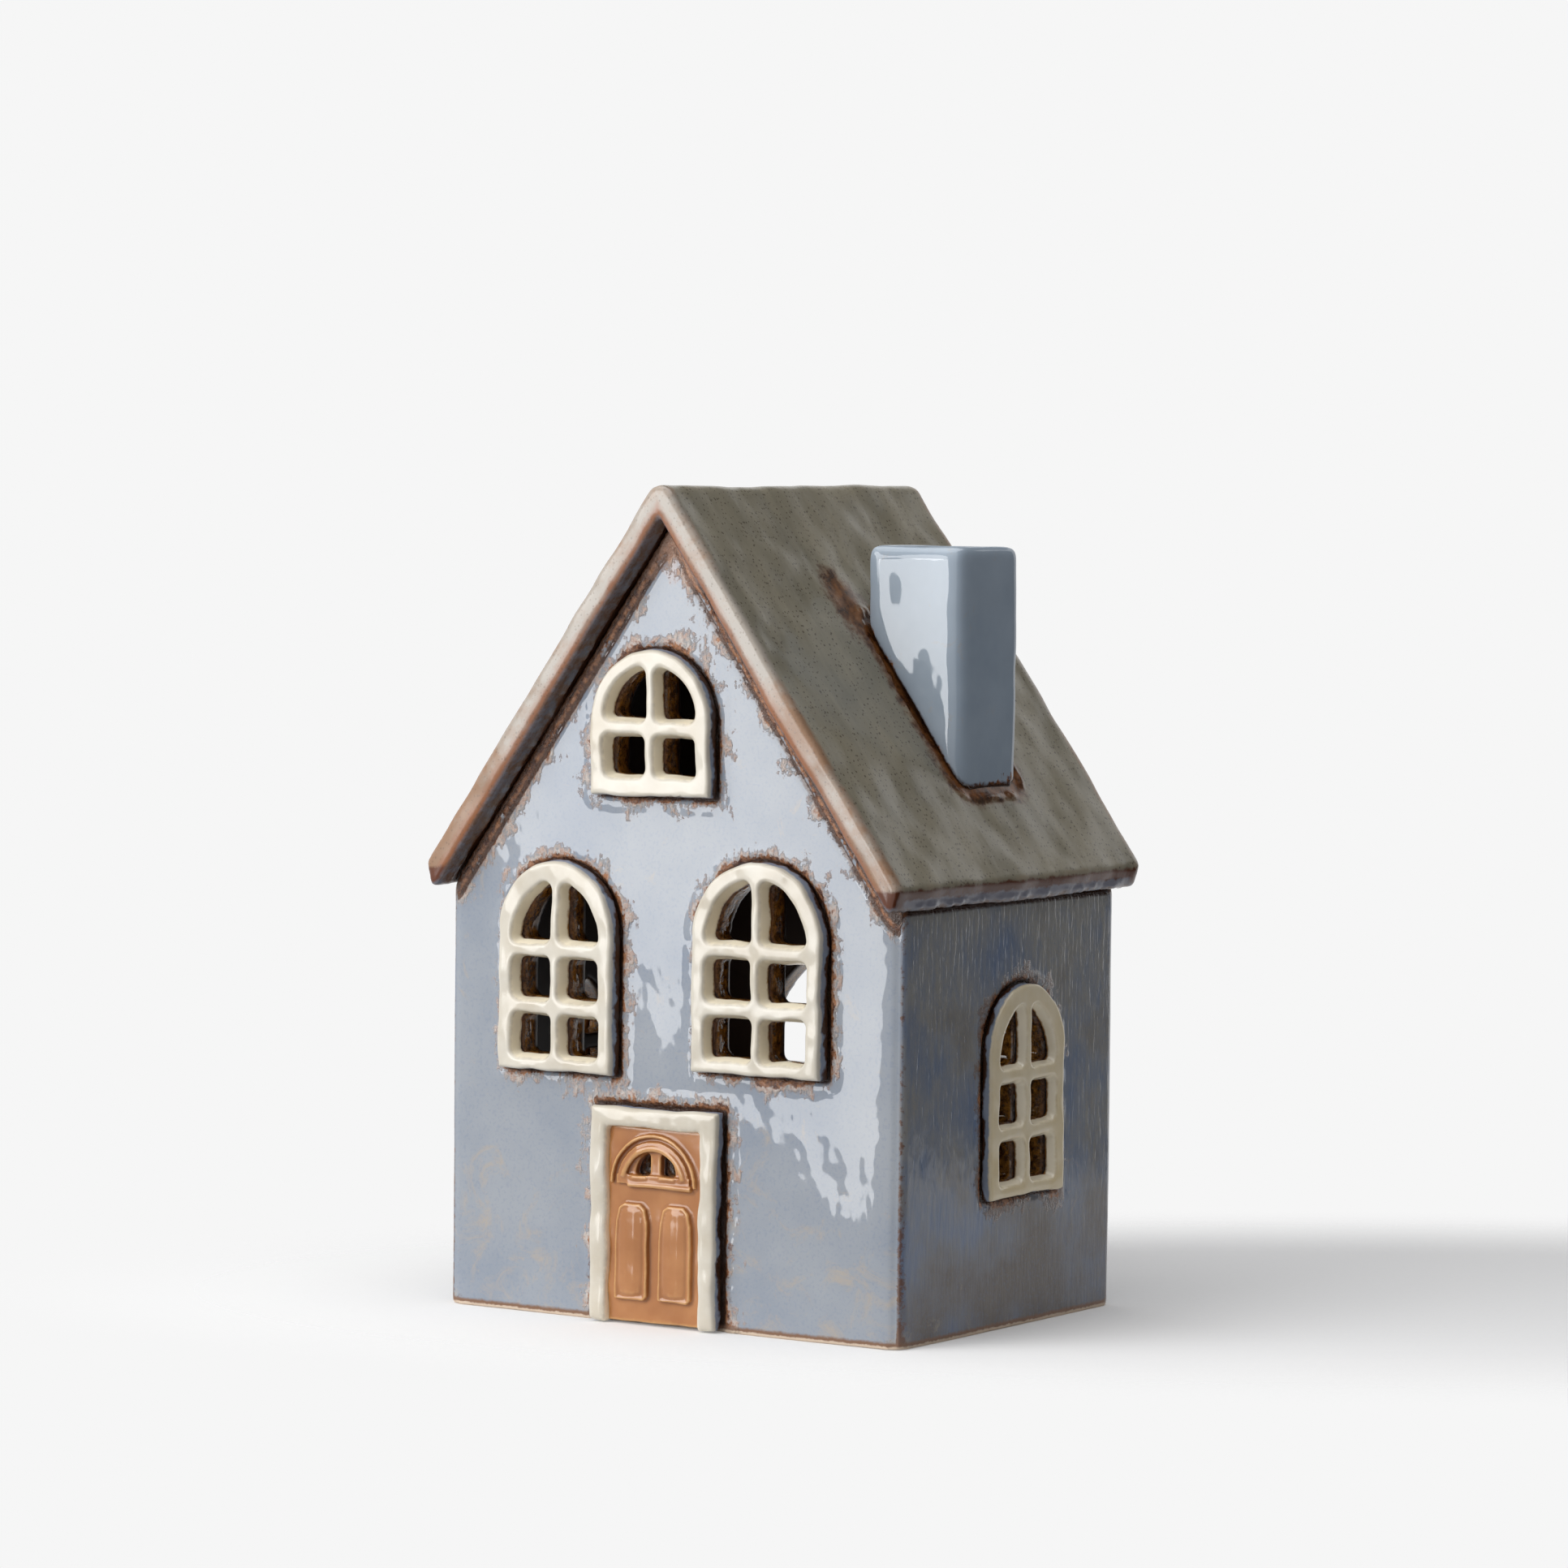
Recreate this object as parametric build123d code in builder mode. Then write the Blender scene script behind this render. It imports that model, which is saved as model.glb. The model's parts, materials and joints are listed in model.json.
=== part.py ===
"""A slab-built stoneware tealight house: four mitred wall slabs round a floor slab, two roof slabs,
a hollow chimney, window grilles and a door luted on to the walls, and a tealight that is slid in
through the arch in the back wall.

Millimetres. X runs along the front of the house, the front faces -Y, Z is up. The origin is on the
surface that the house stands on, under the middle of the house.
"""

import os
from math import cos, radians, sin, tan

from build123d import *

# House body; the wall height is that of the outside of the two side walls
body_width = 98.0
body_depth = 73.0
wall_height = 76.1
wall_thickness = 5.5
floor_thickness = 5.5
corner_radius = 2.5

# Roof: the reach is that of the upper edge of the eaves past the wall, the lip that of the lower edge
roof_pitch = 54.3
roof_thickness = 4.6
ridge_radius = 3.0
eave_reach = 2.2
eave_lip = 0.5
gable_overhang = 5.4
roof_edge_radius = 1.0

# Chimney on the right slope; the rise is that of its rim over the slope in the middle of the chimney
chimney_x = 29.9
chimney_y = 5.6
chimney_width = 21.0
chimney_depth = 20.0
chimney_rise = 29.0
chimney_wall = 4.5
chimney_corner_radius = 2.5
chimney_rim_radius = 1.6

# Arch in the back wall, where the tealight goes in
arch_width = 54.0
arch_crown = 65.6

# Window grilles, luted on to the outside of the walls; the transom is the top of the uppermost bar, on
# which the quarter rounds stand, and the panes widen outwards by their draft, in degrees
front_left_window_width = 24.8
front_right_window_width = 27.2
side_window_width = 25.0
window_height = 37.7
window_transom = 23.2
window_sill = 2.5
window_rows = 2
attic_window_width = 25.4
attic_window_height = 26.0
attic_window_transom = 13.7
attic_window_sill = 3.6
attic_window_rows = 1
window_relief = 3.0
window_border = 3.2
glazing_bar = 3.0
mullion = 2.6
pane_draft = 10.0
pane_corner_radius = 1.1
window_edge_radius = 0.9

# Places of the windows along their walls, and the heights that set them; the insets are from the ends
# of the front wall to the middles of the windows
front_left_window_inset = 25.4
front_left_window_foot = 44.5
front_right_window_inset = 29.2
front_right_window_foot = 46.4
attic_window_x = -3.3
attic_window_headroom = 23.5
side_window_y = 2.9
side_window_headroom = 14.5

# Door and its frame, luted on to the front wall
door_x = -1.8
door_foot_gap = 0.6
door_frame_width = 27.0
door_frame_height = 38.4
door_frame_relief = 3.0
door_jamb = 3.4
door_leaf_relief = 1.6
door_edge_radius = 0.8
door_moulding_relief = 0.7
door_panel_width = 6.2
door_panel_spacing = 9.2
door_panel_foot = 4.4
door_rail = 4.2
door_fanlight_radius = 7.8
door_fanlight_rim = 1.6
door_fanlight_headroom = 2.4
door_pane_radius = 4.4
door_pane_mullion = 2.2
door_pane_corner_radius = 0.6

# Tealight
cup_diameter = 38.0
cup_height = 16.0
cup_wall = 0.4
cup_rim_reach = 0.8
wax_height = 13.0
wax_gap = 0.05
tab_diameter = 14.0
tab_thickness = 0.3
ferrule_diameter = 3.0
ferrule_height = 5.0
wick_diameter = 1.4
wick_free_length = 7.0
tealight_clearance = 0.1

# Sizes that follow from the ones above
half_width = body_width / 2
half_depth = body_depth / 2
pitch = radians(roof_pitch)
slope = tan(pitch)
apex_inside = wall_height + slope * half_width
apex_outside = apex_inside + roof_thickness / cos(pitch)
ridge_top = apex_outside - ridge_radius * (1 / cos(pitch) - 1)
roof_length = body_depth + 2 * gable_overhang
chimney_top = apex_outside - slope * chimney_x + chimney_rise
leaf_width = door_frame_width - 2 * door_jamb
leaf_height = door_frame_height - door_jamb
door_fanlight_foot = leaf_height - door_fanlight_headroom - door_fanlight_radius

os.makedirs("parts", exist_ok=True)


def save(piece, name):
    """Labels a finished piece and writes it under its own name."""
    piece.label = name
    export_step(piece, f"parts/{name}.step")


# Planes on the outside of the walls, with x along the wall, y up and the normal outwards
def on_front(x, z):
    return Plane(origin=(x, -half_depth, z), x_dir=(1, 0, 0), z_dir=(0, -1, 0))


def on_back(x, z):
    return Plane(origin=(x, half_depth, z), x_dir=(-1, 0, 0), z_dir=(0, 1, 0))


def on_right(y, z):
    return Plane(origin=(half_width, y, z), x_dir=(0, 1, 0), z_dir=(1, 0, 0))


def on_left(y, z):
    return Plane(origin=(-half_width, y, z), x_dir=(0, -1, 0), z_dir=(-1, 0, 0))


def round_headed(plane, width, height):
    """An upright rectangle with a round head, standing on the plane's origin."""
    side = width / 2
    spring = height - side
    with BuildSketch(plane) as outline:
        with BuildLine():
            Polyline((-side, spring), (-side, 0), (side, 0), (side, spring))
            ThreePointArc((side, spring), (0, height), (-side, spring))
        make_face()
    return outline.sketch


def window_panes(plane, width, height, transom, sill, rows):
    """The panes of a round-headed window: rows of two panes under a pair of quarter rounds."""
    row_height = (transom - sill - rows * glazing_bar) / rows
    side = width / 2 - window_border
    crown = (0, height - window_border)
    with BuildSketch(plane) as panes:
        with BuildLine():
            Polyline((-side, transom), (-side, sill), (side, sill), (side, transom))
            TangentArc((side, transom), crown, tangent=(0, 1))
            TangentArc((-side, transom), crown, tangent=(0, 1))
        make_face()
        Rectangle(mullion, height, align=(Align.CENTER, Align.MIN), mode=Mode.SUBTRACT)
        for row in range(1, rows + 1):
            with Locations((0, sill + row * row_height + (row - 1) * glazing_bar)):
                Rectangle(width, glazing_bar, align=(Align.CENTER, Align.MIN), mode=Mode.SUBTRACT)
        fillet(panes.vertices(), min(pane_corner_radius, row_height / 4))
    return panes.sketch


def window_grille(plane, width, height, transom, sill, rows):
    """A window grille: a round-headed slab with its panes pressed out and its front edges softened."""
    with BuildPart() as grille:
        extrude(round_headed(plane, width, height), amount=window_relief)
        panes = window_panes(plane, width, height, transom, sill, rows)
        extrude(panes, amount=window_relief, taper=-pane_draft, mode=Mode.SUBTRACT)
        front = grille.faces().sort_by(Axis(plane.origin, plane.z_dir))[-1]
        slimmest = min(mullion, glazing_bar, sill, window_border) - 2 * window_relief * tan(radians(pane_draft))
        fillet(front.edges(), min(window_edge_radius, 0.4 * slimmest))
    return grille.part


def wall_slab(outer_ends, inner_ends, cuts):
    """A wall: one side of the ring of walls, mitred at both ends, cut to the underside of the roof and
    pierced by the sketches in cuts."""
    with BuildPart() as slab:
        with BuildSketch():
            RectangleRounded(body_width, body_depth, corner_radius)
            Rectangle(
                body_width - 2 * wall_thickness,
                body_depth - 2 * wall_thickness,
                mode=Mode.SUBTRACT,
            )
            with BuildLine():
                Polyline(*outer_ends, *reversed(inner_ends), close=True)
            make_face(mode=Mode.INTERSECT)
        extrude(amount=apex_inside)
        with BuildSketch(Plane.XZ):
            with BuildLine():
                Polyline(
                    (-half_width, 0),
                    (half_width, 0),
                    (half_width, wall_height),
                    (0, apex_inside),
                    (-half_width, wall_height),
                    close=True,
                )
            make_face()
        extrude(amount=half_depth, both=True, mode=Mode.INTERSECT)
        for cut in cuts:
            extrude(cut, amount=-2 * wall_thickness, mode=Mode.SUBTRACT)
    return slab.part


def roof_slab(side, flues):
    """Half of the roof, on the right where side is 1 and on the left where it is -1: mitred along the
    ridge, rounded at its edges and pierced by the flues."""
    eave_x = half_width + eave_reach
    lip_x = half_width + eave_lip
    round_x = ridge_radius * sin(pitch)
    round_z = ridge_top - ridge_radius * (1 - cos(pitch))
    with BuildPart() as slab:
        with BuildSketch(Plane.XZ):
            with BuildLine():
                Line((0, apex_inside), (0, ridge_top))
                TangentArc((0, ridge_top), (side * round_x, round_z), tangent=(side, 0))
                Polyline(
                    (side * round_x, round_z),
                    (side * eave_x, apex_outside - slope * eave_x),
                    (side * lip_x, apex_inside - slope * lip_x),
                    (0, apex_inside),
                )
            make_face()
        extrude(amount=roof_length / 2, both=True)
        verges = slab.faces().filter_by(Axis.Y).edges().sort_by(lambda edge: abs(edge.center().X))[2:]
        eaves = slab.edges().filter_by(Axis.Y).sort_by(lambda edge: abs(edge.center().X))[-2:]
        fillet(verges + eaves, min(roof_edge_radius, roof_thickness / 4))
        for flue in flues:
            extrude(flue, amount=-chimney_top, mode=Mode.SUBTRACT)
    return slab.part


# Panes of the door's fanlight: a half round with an upright bar in it
with BuildSketch(on_front(door_x, door_foot_gap + door_fanlight_foot + door_fanlight_rim)) as door_panes:
    Circle(door_pane_radius)
    Rectangle(
        2 * door_pane_radius,
        door_pane_radius,
        align=(Align.CENTER, Align.MAX),
        mode=Mode.SUBTRACT,
    )
    Rectangle(door_pane_mullion, 2 * door_pane_radius, mode=Mode.SUBTRACT)
    fillet(door_panes.vertices(), door_pane_corner_radius)

# Windows by name: the plane at the foot of each, its width, its height and its transom, sill and rows
full_panes = (window_height, window_transom, window_sill, window_rows)
attic_panes = (attic_window_height, attic_window_transom, attic_window_sill, attic_window_rows)
attic_window_foot = apex_inside - attic_window_headroom - attic_window_height
side_window_foot = wall_height - side_window_headroom - window_height
front_left_plane = on_front(front_left_window_inset - half_width, front_left_window_foot)
front_right_plane = on_front(half_width - front_right_window_inset, front_right_window_foot)
front_windows = {
    "attic_window": (on_front(attic_window_x, attic_window_foot), attic_window_width, *attic_panes),
    "front_left_window": (front_left_plane, front_left_window_width, *full_panes),
    "front_right_window": (front_right_plane, front_right_window_width, *full_panes),
}
right_windows = {"right_window": (on_right(side_window_y, side_window_foot), side_window_width, *full_panes)}
left_windows = {"left_window": (on_left(-side_window_y, side_window_foot), side_window_width, *full_panes)}

for windows in (front_windows, right_windows, left_windows):
    for name, window in windows.items():
        save(window_grille(*window), name)

# Arch in the back wall, standing on the level of the floor
arch = round_headed(on_back(0, floor_thickness), arch_width, arch_crown - floor_thickness)

# Walls, with the corners of the ring of walls anticlockwise from the front left
outer = [
    (-half_width, -half_depth),
    (half_width, -half_depth),
    (half_width, half_depth),
    (-half_width, half_depth),
]
room_x = half_width - wall_thickness
room_y = half_depth - wall_thickness
inner = [(-room_x, -room_y), (room_x, -room_y), (room_x, room_y), (-room_x, room_y)]
walls = {
    "front_wall": [window_panes(*window) for window in front_windows.values()] + [door_panes.sketch],
    "right_wall": [window_panes(*window) for window in right_windows.values()],
    "back_wall": [arch],
    "left_wall": [window_panes(*window) for window in left_windows.values()],
}
for corner, (name, cuts) in enumerate(walls.items()):
    following = (corner + 1) % len(outer)
    slab = wall_slab((outer[corner], outer[following]), (inner[corner], inner[following]), cuts)
    save(slab, name)

# Floor slab, set inside the ring of walls
with BuildPart() as floor_slab:
    with BuildSketch():
        Rectangle(2 * room_x, 2 * room_y)
    extrude(amount=floor_thickness)
save(floor_slab.part, "floor_slab")

# Flue, seen from above, through the chimney and the right half of the roof
with BuildSketch(Plane.XY.offset(chimney_top)) as flue:
    with Locations((chimney_x, chimney_y)):
        Rectangle(chimney_width - 2 * chimney_wall, chimney_depth - 2 * chimney_wall)

save(roof_slab(1, [flue.sketch]), "roof_right")
save(roof_slab(-1, []), "roof_left")

# Chimney, cut to the slope that it stands on
with BuildPart() as chimney:
    with BuildSketch(Plane.XY.offset(chimney_top)):
        with Locations((chimney_x, chimney_y)):
            RectangleRounded(chimney_width, chimney_depth, chimney_corner_radius)
    extrude(amount=-chimney_top)
    roof_face = Plane(origin=(0, 0, apex_outside), x_dir=(0, 1, 0), z_dir=(sin(pitch), 0, cos(pitch)))
    split(bisect_by=roof_face, keep=Keep.TOP)
    extrude(flue.sketch, amount=-chimney_top, mode=Mode.SUBTRACT)
    rim = chimney.faces().sort_by(Axis.Z)[-1]
    fillet(rim.edges(), min(chimney_rim_radius, 0.4 * chimney_wall))
save(chimney.part, "chimney")

# Door frame: a lintel and two jambs in one piece
with BuildPart() as door_frame:
    with BuildSketch(on_front(door_x, door_foot_gap)):
        Rectangle(door_frame_width, door_frame_height, align=(Align.CENTER, Align.MIN))
        Rectangle(leaf_width, leaf_height, align=(Align.CENTER, Align.MIN), mode=Mode.SUBTRACT)
    extrude(amount=door_frame_relief)
    fillet(door_frame.faces().sort_by(Axis.Y)[0].edges(), min(door_edge_radius, 0.4 * door_jamb))
save(door_frame.part, "door_frame")

# Door leaf: a slab with two raised panels under a rimmed fanlight
with BuildPart() as door_leaf:
    with BuildSketch(on_front(door_x, door_foot_gap)):
        Rectangle(leaf_width, leaf_height, align=(Align.CENTER, Align.MIN))
    extrude(amount=door_leaf_relief)
    panel_height = door_fanlight_foot - door_rail - door_panel_foot
    leaf_face = on_front(door_x, door_foot_gap).offset(door_leaf_relief)
    with BuildSketch(leaf_face):
        with Locations((0, door_panel_foot + panel_height / 2)):
            with GridLocations(door_panel_spacing, 0, 2, 1):
                Rectangle(door_panel_width, panel_height)
        with Locations((0, door_fanlight_foot)):
            Circle(door_fanlight_radius)
            Circle(door_fanlight_radius - door_fanlight_rim, mode=Mode.SUBTRACT)
            Rectangle(
                2 * door_fanlight_radius,
                door_fanlight_radius,
                align=(Align.CENTER, Align.MAX),
                mode=Mode.SUBTRACT,
            )
            Rectangle(2 * door_fanlight_radius, door_fanlight_rim, align=(Align.CENTER, Align.MIN))
    extrude(amount=door_moulding_relief)
    extrude(door_panes.sketch, amount=door_leaf_relief, mode=Mode.SUBTRACT)
save(door_leaf.part, "door_leaf")

# Tealight, standing on the floor slab in the middle of the room and turned about its own axis
cup_foot = floor_thickness + tealight_clearance
wax_foot = cup_foot + cup_wall
wax_top = wax_foot + wax_height
cup_top = cup_foot + cup_height
cup_radius = cup_diameter / 2
tab_radius = tab_diameter / 2
tab_top = wax_foot + tab_thickness
ferrule_radius = ferrule_diameter / 2
ferrule_top = wax_foot + ferrule_height
wick_radius = wick_diameter / 2


def turned(points):
    """A round piece: its half section, as points of radius and height, turned about the tealight's axis."""
    with BuildPart() as piece:
        with BuildSketch(Plane.XZ):
            with BuildLine():
                Polyline(*points, close=True)
            make_face()
        revolve(axis=Axis.Z)
    return piece.part


tealight_cup = turned([
    (0, cup_foot),
    (cup_radius, cup_foot),
    (cup_radius, cup_top - cup_wall),
    (cup_radius + cup_rim_reach, cup_top - cup_wall),
    (cup_radius + cup_rim_reach, cup_top),
    (cup_radius - cup_wall, cup_top),
    (cup_radius - cup_wall, wax_foot),
    (0, wax_foot),
])
save(tealight_cup, "tealight_cup")

tealight_wax = turned([
    (tab_radius + wax_gap, wax_foot),
    (cup_radius - cup_wall - wax_gap, wax_foot),
    (cup_radius - cup_wall - wax_gap, wax_top),
    (wick_radius + wax_gap, wax_top),
    (wick_radius + wax_gap, ferrule_top),
    (ferrule_radius + wax_gap, ferrule_top),
    (ferrule_radius + wax_gap, tab_top),
    (tab_radius + wax_gap, tab_top),
])
save(tealight_wax, "tealight_wax")

wick_tab = turned([
    (0, wax_foot),
    (tab_radius, wax_foot),
    (tab_radius, tab_top),
    (ferrule_radius, tab_top),
    (ferrule_radius, ferrule_top),
    (wick_radius + wax_gap, ferrule_top),
    (wick_radius + wax_gap, tab_top),
    (0, tab_top),
])
save(wick_tab, "wick_tab")

wick = turned([
    (0, tab_top),
    (wick_radius, tab_top),
    (wick_radius, wax_top + wick_free_length),
    (0, wax_top + wick_free_length),
])
save(wick, "wick")
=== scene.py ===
"""A glazed stoneware tealight house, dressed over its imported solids. Metres, Z up, the front faces -Y."""

import json
import math

import bmesh
import bpy
import numpy
from mathutils import Matrix, Vector

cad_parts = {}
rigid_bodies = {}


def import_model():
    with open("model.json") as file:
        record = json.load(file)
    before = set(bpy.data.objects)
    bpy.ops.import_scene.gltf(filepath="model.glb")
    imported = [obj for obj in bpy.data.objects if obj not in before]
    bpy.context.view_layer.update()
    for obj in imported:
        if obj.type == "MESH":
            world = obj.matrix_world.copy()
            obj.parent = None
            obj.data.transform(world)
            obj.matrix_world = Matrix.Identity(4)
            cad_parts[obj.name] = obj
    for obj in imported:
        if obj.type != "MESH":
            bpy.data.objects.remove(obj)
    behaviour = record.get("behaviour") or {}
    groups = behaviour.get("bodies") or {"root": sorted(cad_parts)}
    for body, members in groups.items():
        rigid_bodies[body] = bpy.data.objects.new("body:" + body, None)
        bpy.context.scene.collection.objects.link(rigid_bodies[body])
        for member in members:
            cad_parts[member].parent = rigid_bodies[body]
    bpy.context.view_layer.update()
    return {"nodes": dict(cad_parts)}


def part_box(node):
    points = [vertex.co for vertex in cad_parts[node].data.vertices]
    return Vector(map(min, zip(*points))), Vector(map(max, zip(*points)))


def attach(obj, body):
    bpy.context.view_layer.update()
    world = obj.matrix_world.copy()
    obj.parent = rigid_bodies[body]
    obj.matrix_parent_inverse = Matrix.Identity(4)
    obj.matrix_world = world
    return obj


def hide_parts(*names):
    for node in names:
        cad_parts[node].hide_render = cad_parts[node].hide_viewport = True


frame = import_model()

# The walls.
# Four slabs of rolled stoneware clay, cut out for the panes and the arch, mitred and luted together with slip,
# so no joint shows at the corners. A glossy blue-grey glaze runs over all four and breaks brown where it thins.

mm = 0.001
stage = bpy.context.scene.collection.objects


def linear(colour):
    """A written sRGB hex colour as the linear values that a shader takes."""
    parts = [int(colour[i:i + 2], 16) / 255 for i in (1, 3, 5)]
    return tuple(p / 12.92 if p <= 0.04045 else ((p + 0.055) / 1.055) ** 2.4 for p in parts) + (1.0,)


def add(tree, kind, sockets=None, out=0, **settings):
    """Adds a node with its settings, fills or links its sockets, and gives back one of its outputs."""
    node = tree.nodes.new(kind)
    for name, value in settings.items():
        setattr(node, name, value)
    for key, value in (sockets or {}).items():
        if isinstance(value, bpy.types.NodeSocket):
            tree.links.new(value, node.inputs[key])
        else:
            node.inputs[key].default_value = value
    return node if out is None else node.outputs[out]


def fired_clay_tree():
    """The rule that a clay skin follows in the kiln: it waves, and its glaze pools beside what is luted to it.

    Sizes are in millimetres. The skin keeps three measures for its glaze: seam and cover are the distances from
    the pieces luted to it and from the roof over it, and edge is how far a point stands out from its surroundings.
    """
    tree = bpy.data.node_groups.new("fired_clay", "GeometryNodeTree")
    tree.interface.new_socket("Skin", in_out="INPUT", socket_type="NodeSocketGeometry")
    tree.interface.new_socket("Neighbours", in_out="INPUT", socket_type="NodeSocketObject")
    tree.interface.new_socket("Cover", in_out="INPUT", socket_type="NodeSocketObject")
    tree.interface.new_socket("Material", in_out="INPUT", socket_type="NodeSocketMaterial")
    for name in ("Wave Height", "Wave Length", "Ripple Height", "Ripple Length", "Wobble", "Wobble Length",
                 "Swell", "Flare", "Corner Start", "Corner Drop", "Groove Depth", "Groove Width", "Lip Height",
                 "Lip Reach", "Line Depth", "Line Reach", "Cover Shift", "Seed"):
        tree.interface.new_socket(name, in_out="INPUT", socket_type="NodeSocketFloat")
    tree.interface.new_socket("Edge Blur", in_out="INPUT", socket_type="NodeSocketInt")
    tree.interface.new_socket("Skin", in_out="OUTPUT", socket_type="NodeSocketGeometry")
    given = add(tree, "NodeGroupInput", out=None).outputs
    place = add(tree, "GeometryNodeInputPosition")
    sized = add(tree, "ShaderNodeVectorMath", {0: place, "Scale": 1 / mm}, operation="SCALE")
    across = add(tree, "ShaderNodeSeparateXYZ", {0: sized}, out="X")
    distances = []
    for name in ("Neighbours", "Cover"):
        beside = add(tree, "GeometryNodeObjectInfo", {"Object": given[name]}, out="Geometry")
        metres = add(tree, "GeometryNodeProximity", {"Geometry": beside}, out="Distance", target_element="FACES")
        distances.append(add(tree, "ShaderNodeMath", {0: metres, 1: 1 / mm}, operation="MULTIPLY"))
    seam, cover = distances
    shift = add(tree, "ShaderNodeMapRange", {0: across, 1: -4.0, 2: 4.0, 3: 0.0, 4: given["Cover Shift"]},
                interpolation_type="SMOOTHSTEP")
    cover = add(tree, "ShaderNodeMath", {0: cover, 1: shift}, operation="SUBTRACT")
    seed = add(tree, "ShaderNodeVectorMath", {0: (37.0, 11.0, 73.0), "Scale": given["Seed"]}, operation="SCALE")
    sample = add(tree, "ShaderNodeVectorMath", {0: sized, 1: seed}, operation="ADD")
    flare = add(tree, "ShaderNodeMapRange", {0: seam, 1: 0.0, 2: 2.6, 3: given["Flare"], 4: 0.0})
    rise = add(tree, "ShaderNodeMath", {0: given["Swell"], 1: flare}, operation="ADD")
    hanging = add(tree, "ShaderNodeVectorMath", {0: sample, 1: (1.0, 1.0, 0.68)}, operation="MULTIPLY")
    for name, spot, detail in (("Wave", sample, 1.0), ("Ripple", hanging, 2.0)):
        pitch = add(tree, "ShaderNodeMath", {0: 1.0, 1: given[name + " Length"]}, operation="DIVIDE")
        noise = add(tree, "ShaderNodeTexNoise", {"Vector": spot, "Scale": pitch, "Detail": detail})
        signed = add(tree, "ShaderNodeMath", {0: noise, 1: 2.0, 2: -1.0}, operation="MULTIPLY_ADD")
        rise = add(tree, "ShaderNodeMath", {0: signed, 1: given[name + " Height"], 2: rise},
                   operation="MULTIPLY_ADD")
    groove = add(tree, "ShaderNodeMapRange", {0: seam, 1: 0.0, 2: given["Groove Width"], 3: given["Groove Depth"],
                                              4: 0.0}, interpolation_type="SMOOTHSTEP")
    rise = add(tree, "ShaderNodeMath", {0: rise, 1: groove}, operation="SUBTRACT")
    off_lip = add(tree, "ShaderNodeMath", {0: seam, 1: given["Lip Reach"]}, operation="SUBTRACT")
    off_lip = add(tree, "ShaderNodeMath", {0: off_lip}, operation="ABSOLUTE")
    lip_end = add(tree, "ShaderNodeMath", {0: given["Lip Reach"], 1: 0.7}, operation="MULTIPLY")
    lip = add(tree, "ShaderNodeMapRange", {0: off_lip, 1: 0.0, 2: lip_end, 3: given["Lip Height"], 4: 0.0},
              interpolation_type="SMOOTHSTEP")
    patches = add(tree, "ShaderNodeTexNoise", {"Vector": sample, "Scale": 1 / 3.2, "Detail": 3.0})
    patches = add(tree, "ShaderNodeMapRange", {0: patches, 1: 0.42, 2: 0.62, 3: 0.15, 4: 1.0})
    rise = add(tree, "ShaderNodeMath", {0: lip, 1: patches, 2: rise}, operation="MULTIPLY_ADD")
    off_line = add(tree, "ShaderNodeMath", {0: cover, 1: given["Line Reach"]}, operation="SUBTRACT")
    off_line = add(tree, "ShaderNodeMath", {0: off_line}, operation="ABSOLUTE")
    line = add(tree, "ShaderNodeMapRange", {0: off_line, 1: 0.0, 2: 0.9, 3: given["Line Depth"], 4: 0.0},
               interpolation_type="SMOOTHSTEP")
    normal = add(tree, "GeometryNodeInputNormal")
    gable = add(tree, "ShaderNodeSeparateXYZ", {0: normal}, out="Y")
    gable = add(tree, "ShaderNodeMath", {0: gable}, operation="ABSOLUTE")
    gable = add(tree, "ShaderNodeMapRange", {0: gable, 1: 0.7, 2: 0.9})
    line = add(tree, "ShaderNodeMath", {0: line, 1: gable}, operation="MULTIPLY")
    corner = add(tree, "ShaderNodeMath", {0: across}, operation="ABSOLUTE")
    corner = add(tree, "ShaderNodeMath", {0: corner, 1: given["Corner Start"]}, operation="SUBTRACT")
    corner = add(tree, "ShaderNodeMath", {0: corner, 1: 0.0}, operation="MAXIMUM")
    corner = add(tree, "ShaderNodeMath", {0: corner, 1: 2.0}, operation="POWER")
    corner = add(tree, "ShaderNodeMath", {0: corner, 1: given["Corner Drop"]}, operation="MULTIPLY")
    line = add(tree, "ShaderNodeMath", {0: corner, 1: gable, 2: line}, operation="MULTIPLY_ADD")
    rise = add(tree, "ShaderNodeMath", {0: rise, 1: line}, operation="SUBTRACT")
    rise = add(tree, "ShaderNodeMath", {0: rise, 1: mm}, operation="MULTIPLY")
    lift = add(tree, "ShaderNodeVectorMath", {0: normal, "Scale": rise}, operation="SCALE")
    pitch = add(tree, "ShaderNodeMath", {0: 1.0, 1: given["Wobble Length"]}, operation="DIVIDE")
    drift = add(tree, "ShaderNodeTexNoise", {"Vector": sample, "Scale": pitch, "Detail": 1.0}, out="Color")
    drift = add(tree, "ShaderNodeVectorMath", {0: drift, 1: (0.5, 0.5, 0.5)}, operation="SUBTRACT")
    reach = add(tree, "ShaderNodeMath", {0: given["Wobble"], 1: 2 * mm}, operation="MULTIPLY")
    drift = add(tree, "ShaderNodeVectorMath", {0: drift, "Scale": reach}, operation="SCALE")
    offset = add(tree, "ShaderNodeVectorMath", {0: lift, 1: drift}, operation="ADD")
    kept = add(tree, "GeometryNodeStoreNamedAttribute", {"Geometry": given["Skin"], "Name": "seam", "Value": seam},
               data_type="FLOAT", domain="POINT")
    kept = add(tree, "GeometryNodeStoreNamedAttribute", {"Geometry": kept, "Name": "cover", "Value": cover},
               data_type="FLOAT", domain="POINT")
    moved = add(tree, "GeometryNodeSetPosition", {"Geometry": kept, "Offset": offset})
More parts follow.
